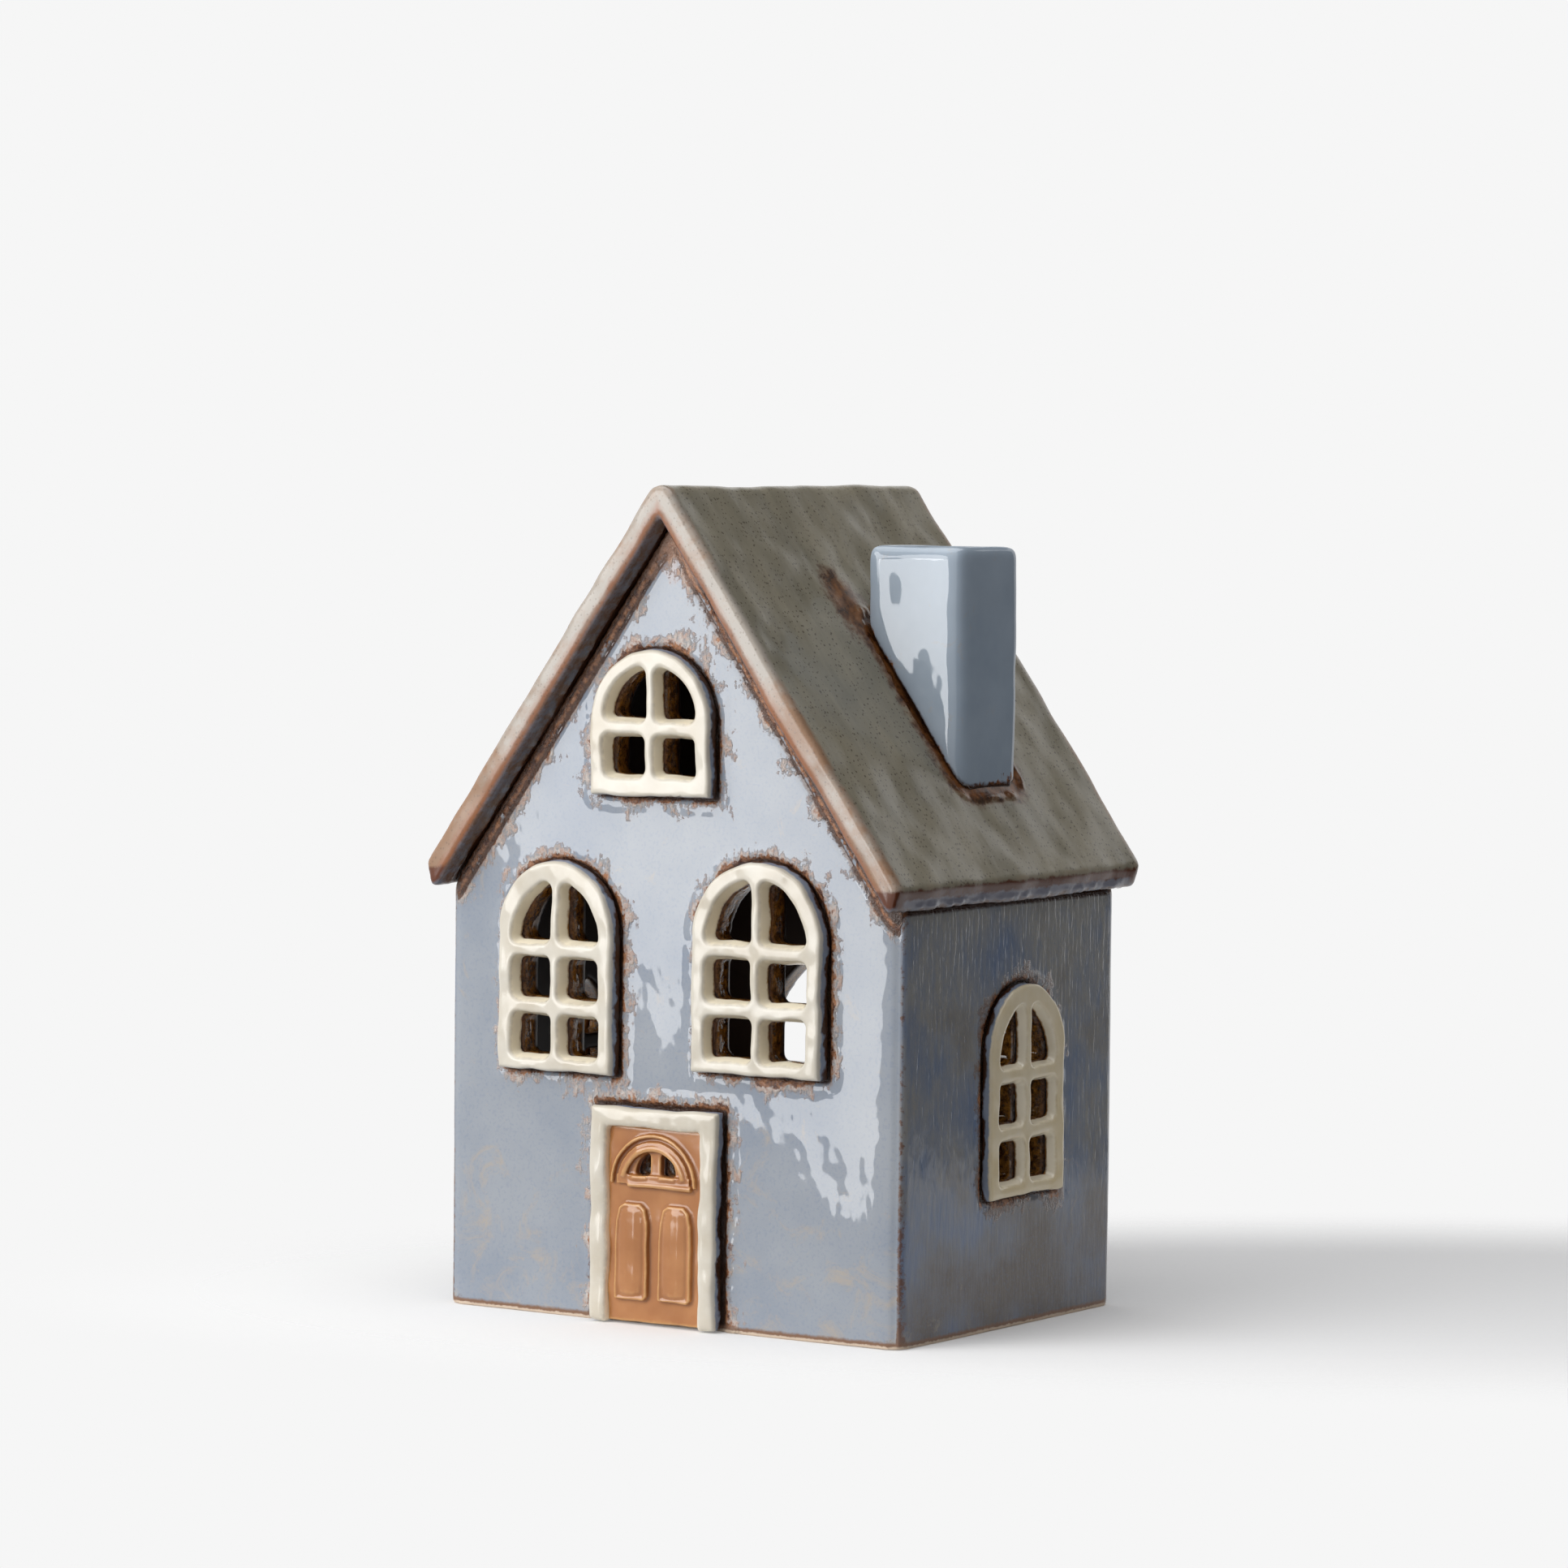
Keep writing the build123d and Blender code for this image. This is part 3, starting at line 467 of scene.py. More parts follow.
def olive_glaze():
    """Iron-bearing stoneware glaze, brushed on and fired satin.

    To the eye: olive grey-brown, paler along the brush's streaks, which partly stand in as painted highlight,
    freckled with dark iron, pinkish and thin on the verges, blue-grey on the eaves' faces, and dark brown in the
    creases by the walls and the chimney.
    """
    material = bpy.data.materials.new("olive_stoneware_glaze_brushed")
    material.use_nodes = True
    tree = material.node_tree
    tree.nodes.clear()
    place = add(tree, "ShaderNodeTexCoord", out="Object")
    sized = add(tree, "ShaderNodeVectorMath", {0: place, "Scale": 1 / mm}, operation="SCALE")
    seam = add(tree, "ShaderNodeAttribute", out="Fac", attribute_name="seam")
    edge = add(tree, "ShaderNodeAttribute", out="Fac", attribute_name="edge")
    depth = add(tree, "ShaderNodeAttribute", out="Fac", attribute_name="depth")
    across, along, height = add(tree, "ShaderNodeSeparateXYZ", {0: sized}, out=None).outputs
    cover = add(tree, "ShaderNodeAttribute", out="Fac", attribute_name="cover")
    # Clouds of 16 mm, brush streaks of 3 by 18 mm down the slope, freckles of 0.3 mm, 0.6 mm apart
    clouds = add(tree, "ShaderNodeTexNoise", {"Vector": sized, "Scale": 1 / 16, "Detail": 5.0, "Roughness": 0.6})
    brush = add(tree, "ShaderNodeMapping", {"Vector": sized, "Scale": (1 / 18, 1 / 3.0, 1 / 18)})
    streaks = add(tree, "ShaderNodeTexNoise", {"Vector": brush, "Scale": 1.0, "Detail": 3.0, "Distortion": 0.4})
    freckles = add(tree, "ShaderNodeTexVoronoi", {"Vector": sized, "Scale": 1 / 0.62}, out=None).outputs
    strength = add(tree, "ShaderNodeSeparateXYZ", {0: freckles["Color"]}, out="X")
    strength = add(tree, "ShaderNodeMapRange", {0: strength, 1: 0.2, 2: 1.0, 3: 0.06, 4: 0.44})
    freckle = add(tree, "ShaderNodeMath", {0: strength, 1: freckles["Distance"]}, operation="SUBTRACT")
    crust = add(tree, "ShaderNodeTexNoise", {"Vector": sized, "Scale": 1 / 2.4, "Detail": 5.0, "Roughness": 0.65})
    ragged = add(tree, "ShaderNodeMath", {0: crust, 1: 6.0, 2: -3.0}, operation="MULTIPLY_ADD")
    mix = add(tree, "ShaderNodeMapRange", {0: clouds, 1: 0.35, 2: 0.65})
    colour = add(tree, "ShaderNodeMix", {0: mix, 6: linear("#7a7566"), 7: linear("#898270")}, out=2,
                 data_type="RGBA")
    # Paler streaks down the slope: partly the brush's laps in the glaze, partly painted highlight from the slope's
    # undulations
    pale = add(tree, "ShaderNodeMapRange", {0: streaks, 1: 0.45, 2: 0.8, 3: 0.0, 4: 0.25})
    colour = add(tree, "ShaderNodeMix", {0: pale, 6: colour, 7: linear("#ada48f")}, out=2, data_type="RGBA")
    thin = add(tree, "ShaderNodeMath", {0: ragged, 1: 0.06, 2: edge}, operation="MULTIPLY_ADD")
    thin = add(tree, "ShaderNodeMapRange", {0: thin, 1: 0.2, 2: 0.4, 3: 0.0, 4: 0.6})
    colour = add(tree, "ShaderNodeMix", {0: thin, 6: colour, 7: linear("#a3917d")}, out=2, data_type="RGBA")
    # The verges: the glaze is thin on the ends of the slabs, 2 mm deep, pale above and rusty below
    out_end = add(tree, "ShaderNodeMath", {0: along}, operation="ABSOLUTE")
    out_end = add(tree, "ShaderNodeMath", {0: ragged, 1: 0.25, 2: out_end}, operation="MULTIPLY_ADD")
    verge = add(tree, "ShaderNodeMapRange", {0: out_end, 1: 39.6, 2: 40.9, 3: 0.0, 4: 0.85})
    low = add(tree, "ShaderNodeMapRange", {0: height, 1: 120.0, 2: 85.0, 3: -0.06, 4: 0.1})
    stain = add(tree, "ShaderNodeMath", {0: clouds, 1: low}, operation="ADD")
    stain = add(tree, "ShaderNodeMath", {0: ragged, 1: 0.06, 2: stain}, operation="MULTIPLY_ADD")
    stain = add(tree, "ShaderNodeMapRange", {0: stain, 1: 0.4, 2: 0.62})
    thinned = add(tree, "ShaderNodeMix", {0: stain, 6: linear("#a49c93"), 7: linear("#8d6a50")}, out=2,
                  data_type="RGBA")
    colour = add(tree, "ShaderNodeMix", {0: verge, 6: colour, 7: thinned}, out=2, data_type="RGBA")
    rim = add(tree, "ShaderNodeMath", {0: across}, operation="ABSOLUTE")
    rim = add(tree, "ShaderNodeMath", {0: rim, 1: math.sin(pitch)}, operation="MULTIPLY")
    deep = add(tree, "ShaderNodeMath", {0: ridge, 1: height}, operation="SUBTRACT")
    deep = add(tree, "ShaderNodeMath", {0: deep, 1: math.cos(pitch)}, operation="MULTIPLY")
    deep = add(tree, "ShaderNodeMath", {0: deep, 1: rim}, operation="SUBTRACT")
    deep = add(tree, "ShaderNodeMath", {0: ragged, 1: -0.4, 2: deep}, operation="MULTIPLY_ADD")
    rim = add(tree, "ShaderNodeMapRange", {0: deep, 1: 2.4, 2: 3.8, 3: 0.0, 4: verge})
    colour = add(tree, "ShaderNodeMix", {0: rim, 6: colour, 7: linear("#8c5430")}, out=2, data_type="RGBA")
    rim = add(tree, "ShaderNodeMapRange", {0: deep, 1: 4.2, 2: 4.7, 3: 0.0, 4: verge})
    colour = add(tree, "ShaderNodeMix", {0: rim, 6: colour, 7: linear("#4a2814")}, out=2, data_type="RGBA")
    iron = add(tree, "ShaderNodeMapRange", {0: verge, 3: 0.65, 4: 0.2})
    iron = add(tree, "ShaderNodeMapRange", {0: freckle, 1: 0.0, 2: 0.08, 3: 0.0, 4: iron})
    colour = add(tree, "ShaderNodeMix", {0: iron, 6: colour, 7: linear("#3b3026")}, out=2, data_type="RGBA")
    # The faces of the eaves: blue-grey under a brown line, 79 mm up
    eave = add(tree, "ShaderNodeMath", {0: ragged, 1: 0.3, 2: height}, operation="MULTIPLY_ADD")
    line = add(tree, "ShaderNodeMapRange", {0: eave, 1: 80.7, 2: 80.2, 3: 0.0, 4: 0.95})
    colour = add(tree, "ShaderNodeMix", {0: line, 6: colour, 7: linear("#55260a")}, out=2, data_type="RGBA")
    fascia = add(tree, "ShaderNodeMapRange", {0: out_end, 1: 39.4, 2: 38.2, 3: 0.0, 4: 0.9})
    fascia = add(tree, "ShaderNodeMapRange", {0: eave, 1: 79.0, 2: 78.5, 3: 0.0, 4: fascia})
    colour = add(tree, "ShaderNodeMix", {0: fascia, 6: colour, 7: linear("#7d808c")}, out=2, data_type="RGBA")
    # The undersides of the verges are blue-grey too
    under = add(tree, "ShaderNodeTexCoord", out="Normal")
    under = add(tree, "ShaderNodeSeparateXYZ", {0: under}, out="Z")
    under = add(tree, "ShaderNodeMapRange", {0: under, 1: -0.25, 2: -0.5, 3: 0.0, 4: 0.85})
    shaded = add(tree, "ShaderNodeMapRange", {0: crust, 1: 0.4, 2: 0.6})
    shaded = add(tree, "ShaderNodeMix", {0: shaded, 6: linear("#6f5442"), 7: linear("#757984")}, out=2,
                 data_type="RGBA")
    colour = add(tree, "ShaderNodeMix", {0: under, 6: colour, 7: shaded}, out=2, data_type="RGBA")
    tucked = add(tree, "ShaderNodeMapRange", {0: height, 1: 80.0, 2: 79.0, 3: 1.0, 4: 3.0})
    seam = add(tree, "ShaderNodeMath", {0: seam, 1: tucked}, operation="MULTIPLY")
    near = add(tree, "ShaderNodeMath", {0: ragged, 1: 0.5, 2: seam}, operation="MULTIPLY_ADD")
    rust = add(tree, "ShaderNodeMapRange", {0: near, 1: 1.7, 2: 0.7})
    colour = add(tree, "ShaderNodeMix", {0: rust, 6: colour, 7: linear("#6b3f24")}, out=2, data_type="RGBA")
    crease = add(tree, "ShaderNodeMapRange", {0: seam, 1: 1.2, 2: 0.5})
    colour = add(tree, "ShaderNodeMix", {0: crease, 6: colour, 7: linear("#3a2012")}, out=2, data_type="RGBA")
    # Brown glaze pools round the chimney's foot, and most at its upper front corner
    pool = add(tree, "ShaderNodeVectorMath", {0: sized, 1: (1.0, 1.0, 0.0)}, operation="MULTIPLY")
    pool = add(tree, "ShaderNodeVectorMath", {0: pool, 1: (17.0, -6.0, 0.0)}, out="Value", operation="DISTANCE")
    pool = add(tree, "ShaderNodeMath", {0: pool, 1: 0.8, 2: -1.0}, operation="MULTIPLY_ADD")
    pool = add(tree, "ShaderNodeMath", {0: pool, 1: cover}, operation="MINIMUM")
    pool = add(tree, "ShaderNodeMath", {0: ragged, 1: 1.5, 2: pool}, operation="MULTIPLY_ADD")
    pool = add(tree, "ShaderNodeMapRange", {0: pool, 1: 3.8, 2: 1.6, 3: 0.0, 4: 0.9})
    burnt = add(tree, "ShaderNodeMapRange", {0: crust, 1: 0.35, 2: 0.6})
    burnt = add(tree, "ShaderNodeMix", {0: burnt, 6: linear("#33190c"), 7: linear("#7d4f2a")}, out=2,
                data_type="RGBA")
    colour = add(tree, "ShaderNodeMix", {0: pool, 6: colour, 7: burnt}, out=2, data_type="RGBA")
    within = add(tree, "ShaderNodeMapRange", {0: depth, 1: 1.5, 2: 3.0})
    colour = add(tree, "ShaderNodeMix", {0: within, 6: colour, 7: linear("#2e1b0e")}, out=2, data_type="RGBA")
    gloss = add(tree, "ShaderNodeMapRange", {0: clouds, 1: 0.3, 2: 0.7, 3: 0.16, 4: 0.3})
    dimple = add(tree, "ShaderNodeMath", {0: streaks, 1: 1.5, 2: crust}, operation="MULTIPLY_ADD")
    bump = add(tree, "ShaderNodeBump", {"Height": dimple, "Distance": 0.05 * mm, "Strength": 0.5})
    shader = add(tree, "ShaderNodeBsdfPrincipled", {"Base Color": colour, "Roughness": gloss, "Normal": bump,
                                                    "IOR": 1.5})
    add(tree, "ShaderNodeOutputMaterial", {"Surface": shader}, out=None)
    return material


pitch = math.radians(54.3)
ridge = 152.17
roof_glaze = olive_glaze()


def under_roof(x, y, z):
    """How far a point of the roof lies under its slope, where it is over the room."""
    below = (ridge - z) * math.cos(pitch) - abs(x) * math.sin(pitch)
    return numpy.where((abs(y) < half_depth - 3) & (abs(x) < half_width - 3), below, 0.0)


roof = fired("roof", ["roof_left", "roof_right"], ["chimney", "front_wall", "back_wall", "right_wall", "left_wall"],
             ["chimney"], roof_glaze, 0.5, 12, under_roof, wave_height=0.5, wave_length=12.0, ripple_height=0.05,
             ripple_length=5.0, wobble=0.4, wobble_length=30.0, lip_height=0.5, lip_reach=1.6, seed=3.0)
settle("glazed_roof_left", parted(roof, "roof_left", [((0, 0, 0), (-1, 0, 0))]), "roof_left", "house")
settle("glazed_roof_right", parted(roof, "roof_right", [((0, 0, 0), (1, 0, 0))]), "roof_right", "house")

# The chimney.
# A small hollow box of clay luted on to the right slope, with its corners wiped round. It is dipped in the same
# blue-grey glaze as the walls, which pools brown at its foot.

chimney_glaze = blue_grey_glaze("blue_grey_stoneware_glaze_pooled", "#97a5b4", "#a8b5c2", "#56647a", "#828f9d",
                                broken=0.0, turned=-0.25)
chimney = fired("glazed_chimney", ["chimney"], ["roof_right"], ["floor_slab"], chimney_glaze, 0.4, 40,
                lambda x, y, z: 0.0 * x,
                wave_height=0.3, wave_length=13.0, ripple_height=0.03, ripple_length=6.0, wobble=0.4, seed=4.0)
settle("glazed_chimney", chimney, "chimney", "house")

# The windows.
# Five grilles cut from soft clay and luted on round their panes. A thick cream glaze was laid on their faces
# with a brush, so the bars are pillowed and uneven and their sides keep the wall's colour.

def cream_glaze_material(name, face, laid):
    """Tin-white stoneware glaze over buff clay, laid on thickly with a brush.

    To the eye: warm cream, pooled a little darker in the creases. It runs down into the panes, whose flanks are
    painted paler as painted light, and stops short of the outer sides, which are blue-grey and turn dark brown where
    the grille meets its wall.
    """
    material = bpy.data.materials.new(name)
    material.use_nodes = True
    tree = material.node_tree
    tree.nodes.clear()
    place = add(tree, "ShaderNodeTexCoord", out="Object")
    sized = add(tree, "ShaderNodeVectorMath", {0: place, "Scale": 1 / mm}, operation="SCALE")
    proud = add(tree, "ShaderNodeAttribute", out="Fac", attribute_name="seam")
    edge = add(tree, "ShaderNodeAttribute", out="Fac", attribute_name="edge")
    depth = add(tree, "ShaderNodeAttribute", out="Fac", attribute_name="depth")
    # Brush laps of 6 mm, a mottle of 1.2 mm, and ragged ends of the glaze of 1.5 mm
    laps = add(tree, "ShaderNodeTexNoise", {"Vector": sized, "Scale": 1 / 6, "Detail": 3.0})
    mottle = add(tree, "ShaderNodeTexNoise", {"Vector": sized, "Scale": 1 / 1.2, "Detail": 3.0})
    crust = add(tree, "ShaderNodeTexNoise", {"Vector": sized, "Scale": 1 / 1.5, "Detail": 4.0, "Roughness": 0.6})
    ragged = add(tree, "ShaderNodeMath", {0: crust, 1: 3.0, 2: -1.5}, operation="MULTIPLY_ADD")
    mix = add(tree, "ShaderNodeMapRange", {0: laps, 1: 0.35, 2: 0.7})
    colour = add(tree, "ShaderNodeMix", {0: mix, 6: linear(face), 7: linear(laid)}, out=2,
                 data_type="RGBA")
    fine = add(tree, "ShaderNodeMapRange", {0: mottle, 1: 0.55, 2: 0.8, 3: 0.0, 4: 0.25})
    colour = add(tree, "ShaderNodeMix", {0: fine, 6: colour, 7: linear("#dad5ca")}, out=2, data_type="RGBA")
    pooled = add(tree, "ShaderNodeMapRange", {0: edge, 1: -0.02, 2: -0.2, 3: 0.0, 4: 0.7})
    colour = add(tree, "ShaderNodeMix", {0: pooled, 6: colour, 7: linear("#c9b698")}, out=2, data_type="RGBA")
    up = add(tree, "ShaderNodeMath", {0: ragged, 1: 0.35, 2: proud}, operation="MULTIPLY_ADD")
    outside = add(tree, "ShaderNodeMapRange", {0: depth, 1: 1.3, 2: 0.9})
    side = add(tree, "ShaderNodeMapRange", {0: up, 1: 2.2, 2: 1.8, 3: 0.0, 4: outside})
    colour = add(tree, "ShaderNodeMix", {0: side, 6: colour, 7: linear("#8490a3")}, out=2, data_type="RGBA")
    down = add(tree, "ShaderNodeMath", {0: laps, 1: -5.0, 2: 3.5}, operation="MULTIPLY_ADD")
    down = add(tree, "ShaderNodeMath", {0: up, 1: down}, operation="SUBTRACT")
    line = add(tree, "ShaderNodeMapRange", {0: down, 1: 0.4, 2: -0.1, 3: 0.0, 4: outside})
    colour = add(tree, "ShaderNodeMix", {0: line, 6: colour, 7: linear("#3c2314")}, out=2, data_type="RGBA")
    # Inside the panes the flanks are painted a paler cream: painted light on flanks that face away from the lamps
    bare = add(tree, "ShaderNodeMath", {0: 1.0, 1: outside}, operation="SUBTRACT")
    flank_painted_light = add(tree, "ShaderNodeMapRange", {0: up, 1: 2.8, 2: 2.2, 3: 0.0, 4: bare})
    colour = add(tree, "ShaderNodeMix", {0: flank_painted_light, 6: colour, 7: linear("#f4ead2")}, out=2, data_type="RGBA")
    bare = add(tree, "ShaderNodeMapRange", {0: up, 1: 0.6, 2: 0.2, 3: 0.0, 4: bare})
    colour = add(tree, "ShaderNodeMix", {0: bare, 6: colour, 7: linear("#9a6a30")}, out=2, data_type="RGBA")
    gloss = add(tree, "ShaderNodeMapRange", {0: side, 3: 0.14, 4: 0.1})
    bump = add(tree, "ShaderNodeBump", {"Height": mottle, "Distance": 0.03 * mm, "Strength": 0.3})
    shader = add(tree, "ShaderNodeBsdfPrincipled", {"Base Color": colour, "Roughness": gloss, "Normal": bump,
                                                    "IOR": 1.5})
    add(tree, "ShaderNodeOutputMaterial", {"Surface": shader}, out=None)
    return material


def inset(node, axis):
    """How far inside the round-headed outline of a grille a point lies, on the wall that runs along the axis."""
    low, high = (Vector(corner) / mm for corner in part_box(node))
    middle = (low[axis] + high[axis]) / 2
    half = (high[axis] - low[axis]) / 2
    spring = high.z - half

    def depth(x, y, z):
        aside = abs((x, y)[axis] - middle)
        head = half - numpy.hypot(aside, z - spring)
        return numpy.where(z > spring, head, numpy.minimum(half - aside, z - low.z))

    return depth


cream_glaze = cream_glaze_material("cream_stoneware_glaze_brushed", "#d0cabd", "#c4bbaa")
# The side grilles take a paler, warmer copy of the cream: painted warm light on the shaded end walls
side_cream_glaze_painted_light = cream_glaze_material("cream_stoneware_glaze_painted_warm_light", "#e0d4ba", "#d5c5a2")
for seed, (node, wall, axis) in enumerate((
    ("attic_window", "front_wall", 0), ("front_left_window", "front_wall", 0),
    ("front_right_window", "front_wall", 0), ("right_window", "right_wall", 1), ("left_window", "left_wall", 1),
)):
    grille = fired("glazed_" + node, [node], [wall], ["floor_slab"], (cream_glaze, side_cream_glaze_painted_light)[axis], 0.28, 6,
                   inset(node, axis), flare=0.3, wave_height=0.1, wave_length=8.0, wobble=0.5, wobble_length=7.0,
                   seed=5.0 + seed)
    # The side grilles are pressed a third deeper into their walls
    spots = numpy.empty(len(grille.vertices) * 3)
    grille.vertices.foreach_get("co", spots)
    outer = math.copysign(half_width * mm, spots[0])
    spots[0::3] = outer + (spots[0::3] - outer) * (0.67 if axis == 1 else 1.0)
    grille.vertices.foreach_set("co", spots)
    settle("glazed_" + node, grille, node, "house")

# The door.
# A clay leaf with moulded panels and a fanlight, glazed caramel, in a cream frame rolled from a strip of clay.

def caramel_glaze():
    """Honey-brown stoneware glaze, brushed over the pressed leaf.

    To the eye: glossy caramel, pale gold where it breaks over the mouldings' edges, partly painted highlight, and
    darker where it pools.
    """
    material = bpy.data.materials.new("caramel_stoneware_glaze_brushed")
    material.use_nodes = True
    tree = material.node_tree
    tree.nodes.clear()
    place = add(tree, "ShaderNodeTexCoord", out="Object")
    sized = add(tree, "ShaderNodeVectorMath", {0: place, "Scale": 1 / mm}, operation="SCALE")
    edge = add(tree, "ShaderNodeAttribute", out="Fac", attribute_name="edge")
    # Pools of 7 mm and a mottle of 1 mm
    pools = add(tree, "ShaderNodeTexNoise", {"Vector": sized, "Scale": 1 / 7, "Detail": 3.0})
    mottle = add(tree, "ShaderNodeTexNoise", {"Vector": sized, "Scale": 1.0, "Detail": 3.0})
    mix = add(tree, "ShaderNodeMapRange", {0: pools, 1: 0.35, 2: 0.65})
    colour = add(tree, "ShaderNodeMix", {0: mix, 6: linear("#a0693d"), 7: linear("#ae7749")}, out=2,
                 data_type="RGBA")
    # Convex edges turn pale gold: partly the glaze thinning over them, partly painted highlight
    worn = add(tree, "ShaderNodeMath", {0: mottle, 1: 0.12, 2: edge}, operation="MULTIPLY_ADD")
    gold_break_painted_highlight = add(tree, "ShaderNodeMapRange", {0: worn, 1: 0.1, 2: 0.26, 3: 0.0, 4: 0.75})
    colour = add(tree, "ShaderNodeMix", {0: gold_break_painted_highlight, 6: colour, 7: linear("#d0a066")}, out=2, data_type="RGBA")
    pooled = add(tree, "ShaderNodeMapRange", {0: edge, 1: -0.03, 2: -0.16, 3: 0.0, 4: 0.45})
    colour = add(tree, "ShaderNodeMix", {0: pooled, 6: colour, 7: linear("#7d4a22")}, out=2, data_type="RGBA")
    bump = add(tree, "ShaderNodeBump", {"Height": mottle, "Distance": 0.03 * mm, "Strength": 0.3})
    shader = add(tree, "ShaderNodeBsdfPrincipled", {"Base Color": colour, "Roughness": 0.12, "Normal": bump,
                                                    "IOR": 1.52})
    add(tree, "ShaderNodeOutputMaterial", {"Surface": shader}, out=None)
    return material


def frame_inset(x, y, z):
    """How far inside the outer edges of the door frame a point lies."""
    low, high = (Vector(corner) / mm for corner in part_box("door_frame"))
    return numpy.minimum(numpy.minimum(x - low.x, high.x - x), high.z - z)


def roll(path, flat=1.0, closed=False):
    """A roll of clay laid on the door's mouldings along a path of (across, up, radius) points in millimetres."""
    face = Vector((0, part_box("door_leaf")[0][1] / mm + 0.1, 0))
    points = []
    faces = []
    for step, (across, up, radius) in enumerate(path):
        before = path[step - 1] if closed or step > 0 else path[0]
        after = path[(step + 1) % len(path)] if closed or step < len(path) - 1 else path[-1]
        ahead = Vector((after[0] - before[0], 0, after[1] - before[1])).normalized()
        for corner in range(10):
            angle = math.tau * corner / 10
            ring = Vector((ahead.z * math.cos(angle), flat * math.sin(angle), -ahead.x * math.cos(angle)))
            points.append((face + Vector((across, 0, up)) + ring * radius) * mm)
    for step in range(len(path) if closed else len(path) - 1):
        after = (step + 1) % len(path)
        for corner in range(10):
            beside = (corner + 1) % 10
            faces.append([step * 10 + corner, after * 10 + corner, after * 10 + beside, step * 10 + beside])
    if not closed:
        faces.append(list(range(10)))
        faces.append([len(points) - 1 - corner for corner in range(10)])
    return points, faces


door_low, door_high = (Vector(corner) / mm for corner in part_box("door_leaf"))
door_middle = (door_low.x + door_high.x) / 2
sill = door_low.z + 24.8
rolls = []
for side in (-1, 1):
    middle = door_middle + side * 4.7
    left, right, low, high = middle - 3.2, middle + 3.2, door_low.z + 4.3, door_low.z + 20.9
    rolls.append(roll([(left, low, 0.42), (left + 0.3, high - 3, 0.42), (left + 0.9, high - 0.6, 0.42),
                       (left + 1.8, high, 0.42), (right - 1.4, high, 0.42), (right - 0.5, high - 0.8, 0.42),
                       (right, high - 3, 0.42), (right, low + 0.4, 0.42), (right - 0.5, low, 0.42)], closed=True))
    rolls.append(roll([(middle, low + 0.6, 1.8), (middle, low + 1.0, 2.5), (middle, low + 3, 2.8),
                       (middle + 0.1, high - 3, 2.8), (middle + 0.2, high - 1.0, 2.4),
                       (middle + 0.2, high - 0.4, 1.9)], flat=0.26))
    rolls.append(roll([(door_middle + side * 1.5, sill + 1.2, 0.4), (door_middle + side * 4.6, sill + 1.2, 0.4)]))
rolls.append(roll([(door_middle + 8.9 * math.cos(math.radians(angle)),
                    sill + 8.9 * math.sin(math.radians(angle)), 0.36) for angle in range(0, 181, 10)]))
rolls.append(roll([(door_middle + 6.6 * math.cos(math.radians(angle)),
                    sill + 6.6 * math.sin(math.radians(angle)), 0.6) for angle in range(10, 171, 10)], flat=0.8))
rolls.append(roll([(door_middle - 5.5, sill - 0.1, 0.45), (door_middle + 8.2, sill - 0.2, 0.55)]))
door_glaze = caramel_glaze()
surround = fired("glazed_door_frame", ["door_frame"], ["front_wall"], ["roof_left"], cream_glaze, 0.3, 12,
                 frame_inset, wave_height=0.15, wave_length=8.0, wobble=0.75, wobble_length=9.0, swell=0.1,
                 seed=11.0)
settle("glazed_door_frame", surround, "door_frame", "house")
leaf = fired("glazed_door_leaf", ["door_leaf"], ["front_wall"], ["roof_left"], door_glaze, 0.2, 4,
             lambda x, y, z: 0.0 * x, rolls, wave_height=0.06, wave_length=5.0, wobble=0.25, wobble_length=7.0,
             edge_blur=20, seed=12.0)
settle("glazed_door_leaf", leaf, "door_leaf", "house")

# The tealight's cup.
# Thin aluminium sheet, deep-drawn to a cup with fine flutes, a beaded floor and a rim curled outwards.


def turned(label, profile, flutes=0, flute_depth=0.0, segments=192):
    """A closed profile of (radius, height, fluted) points in millimetres, turned about the tealight's axis."""
    axis = (Vector(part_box("tealight_cup")[0]) + Vector(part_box("tealight_cup")[1])) / 2
    work = bmesh.new()
    rings = []
    for radius, height, fluted in profile:
        if radius == 0:
            rings.append([work.verts.new((axis.x, axis.y, height * mm))])
            continue
        ring = []
        for step in range(segments):
            angle = math.tau * step / segments
            reach = (radius + fluted * flute_depth * math.cos(flutes * angle)) * mm
            ring.append(work.verts.new((axis.x + reach * math.cos(angle), axis.y + reach * math.sin(angle),
                                        height * mm)))
        rings.append(ring)
    for inner, outer in zip(rings, rings[1:]):
        for step in range(segments):
            after = (step + 1) % segments
            corners = [inner[step % len(inner)], inner[after % len(inner)], outer[after % len(outer)],
                       outer[step % len(outer)]]
            work.faces.new(list(dict.fromkeys(corners)))
    bmesh.ops.recalc_face_normals(work, faces=work.faces)
    mesh = bpy.data.meshes.new(label)
    work.to_mesh(mesh)
    work.free()
    mesh.polygons.foreach_set("use_smooth", numpy.ones(len(mesh.polygons), bool))
    return mesh


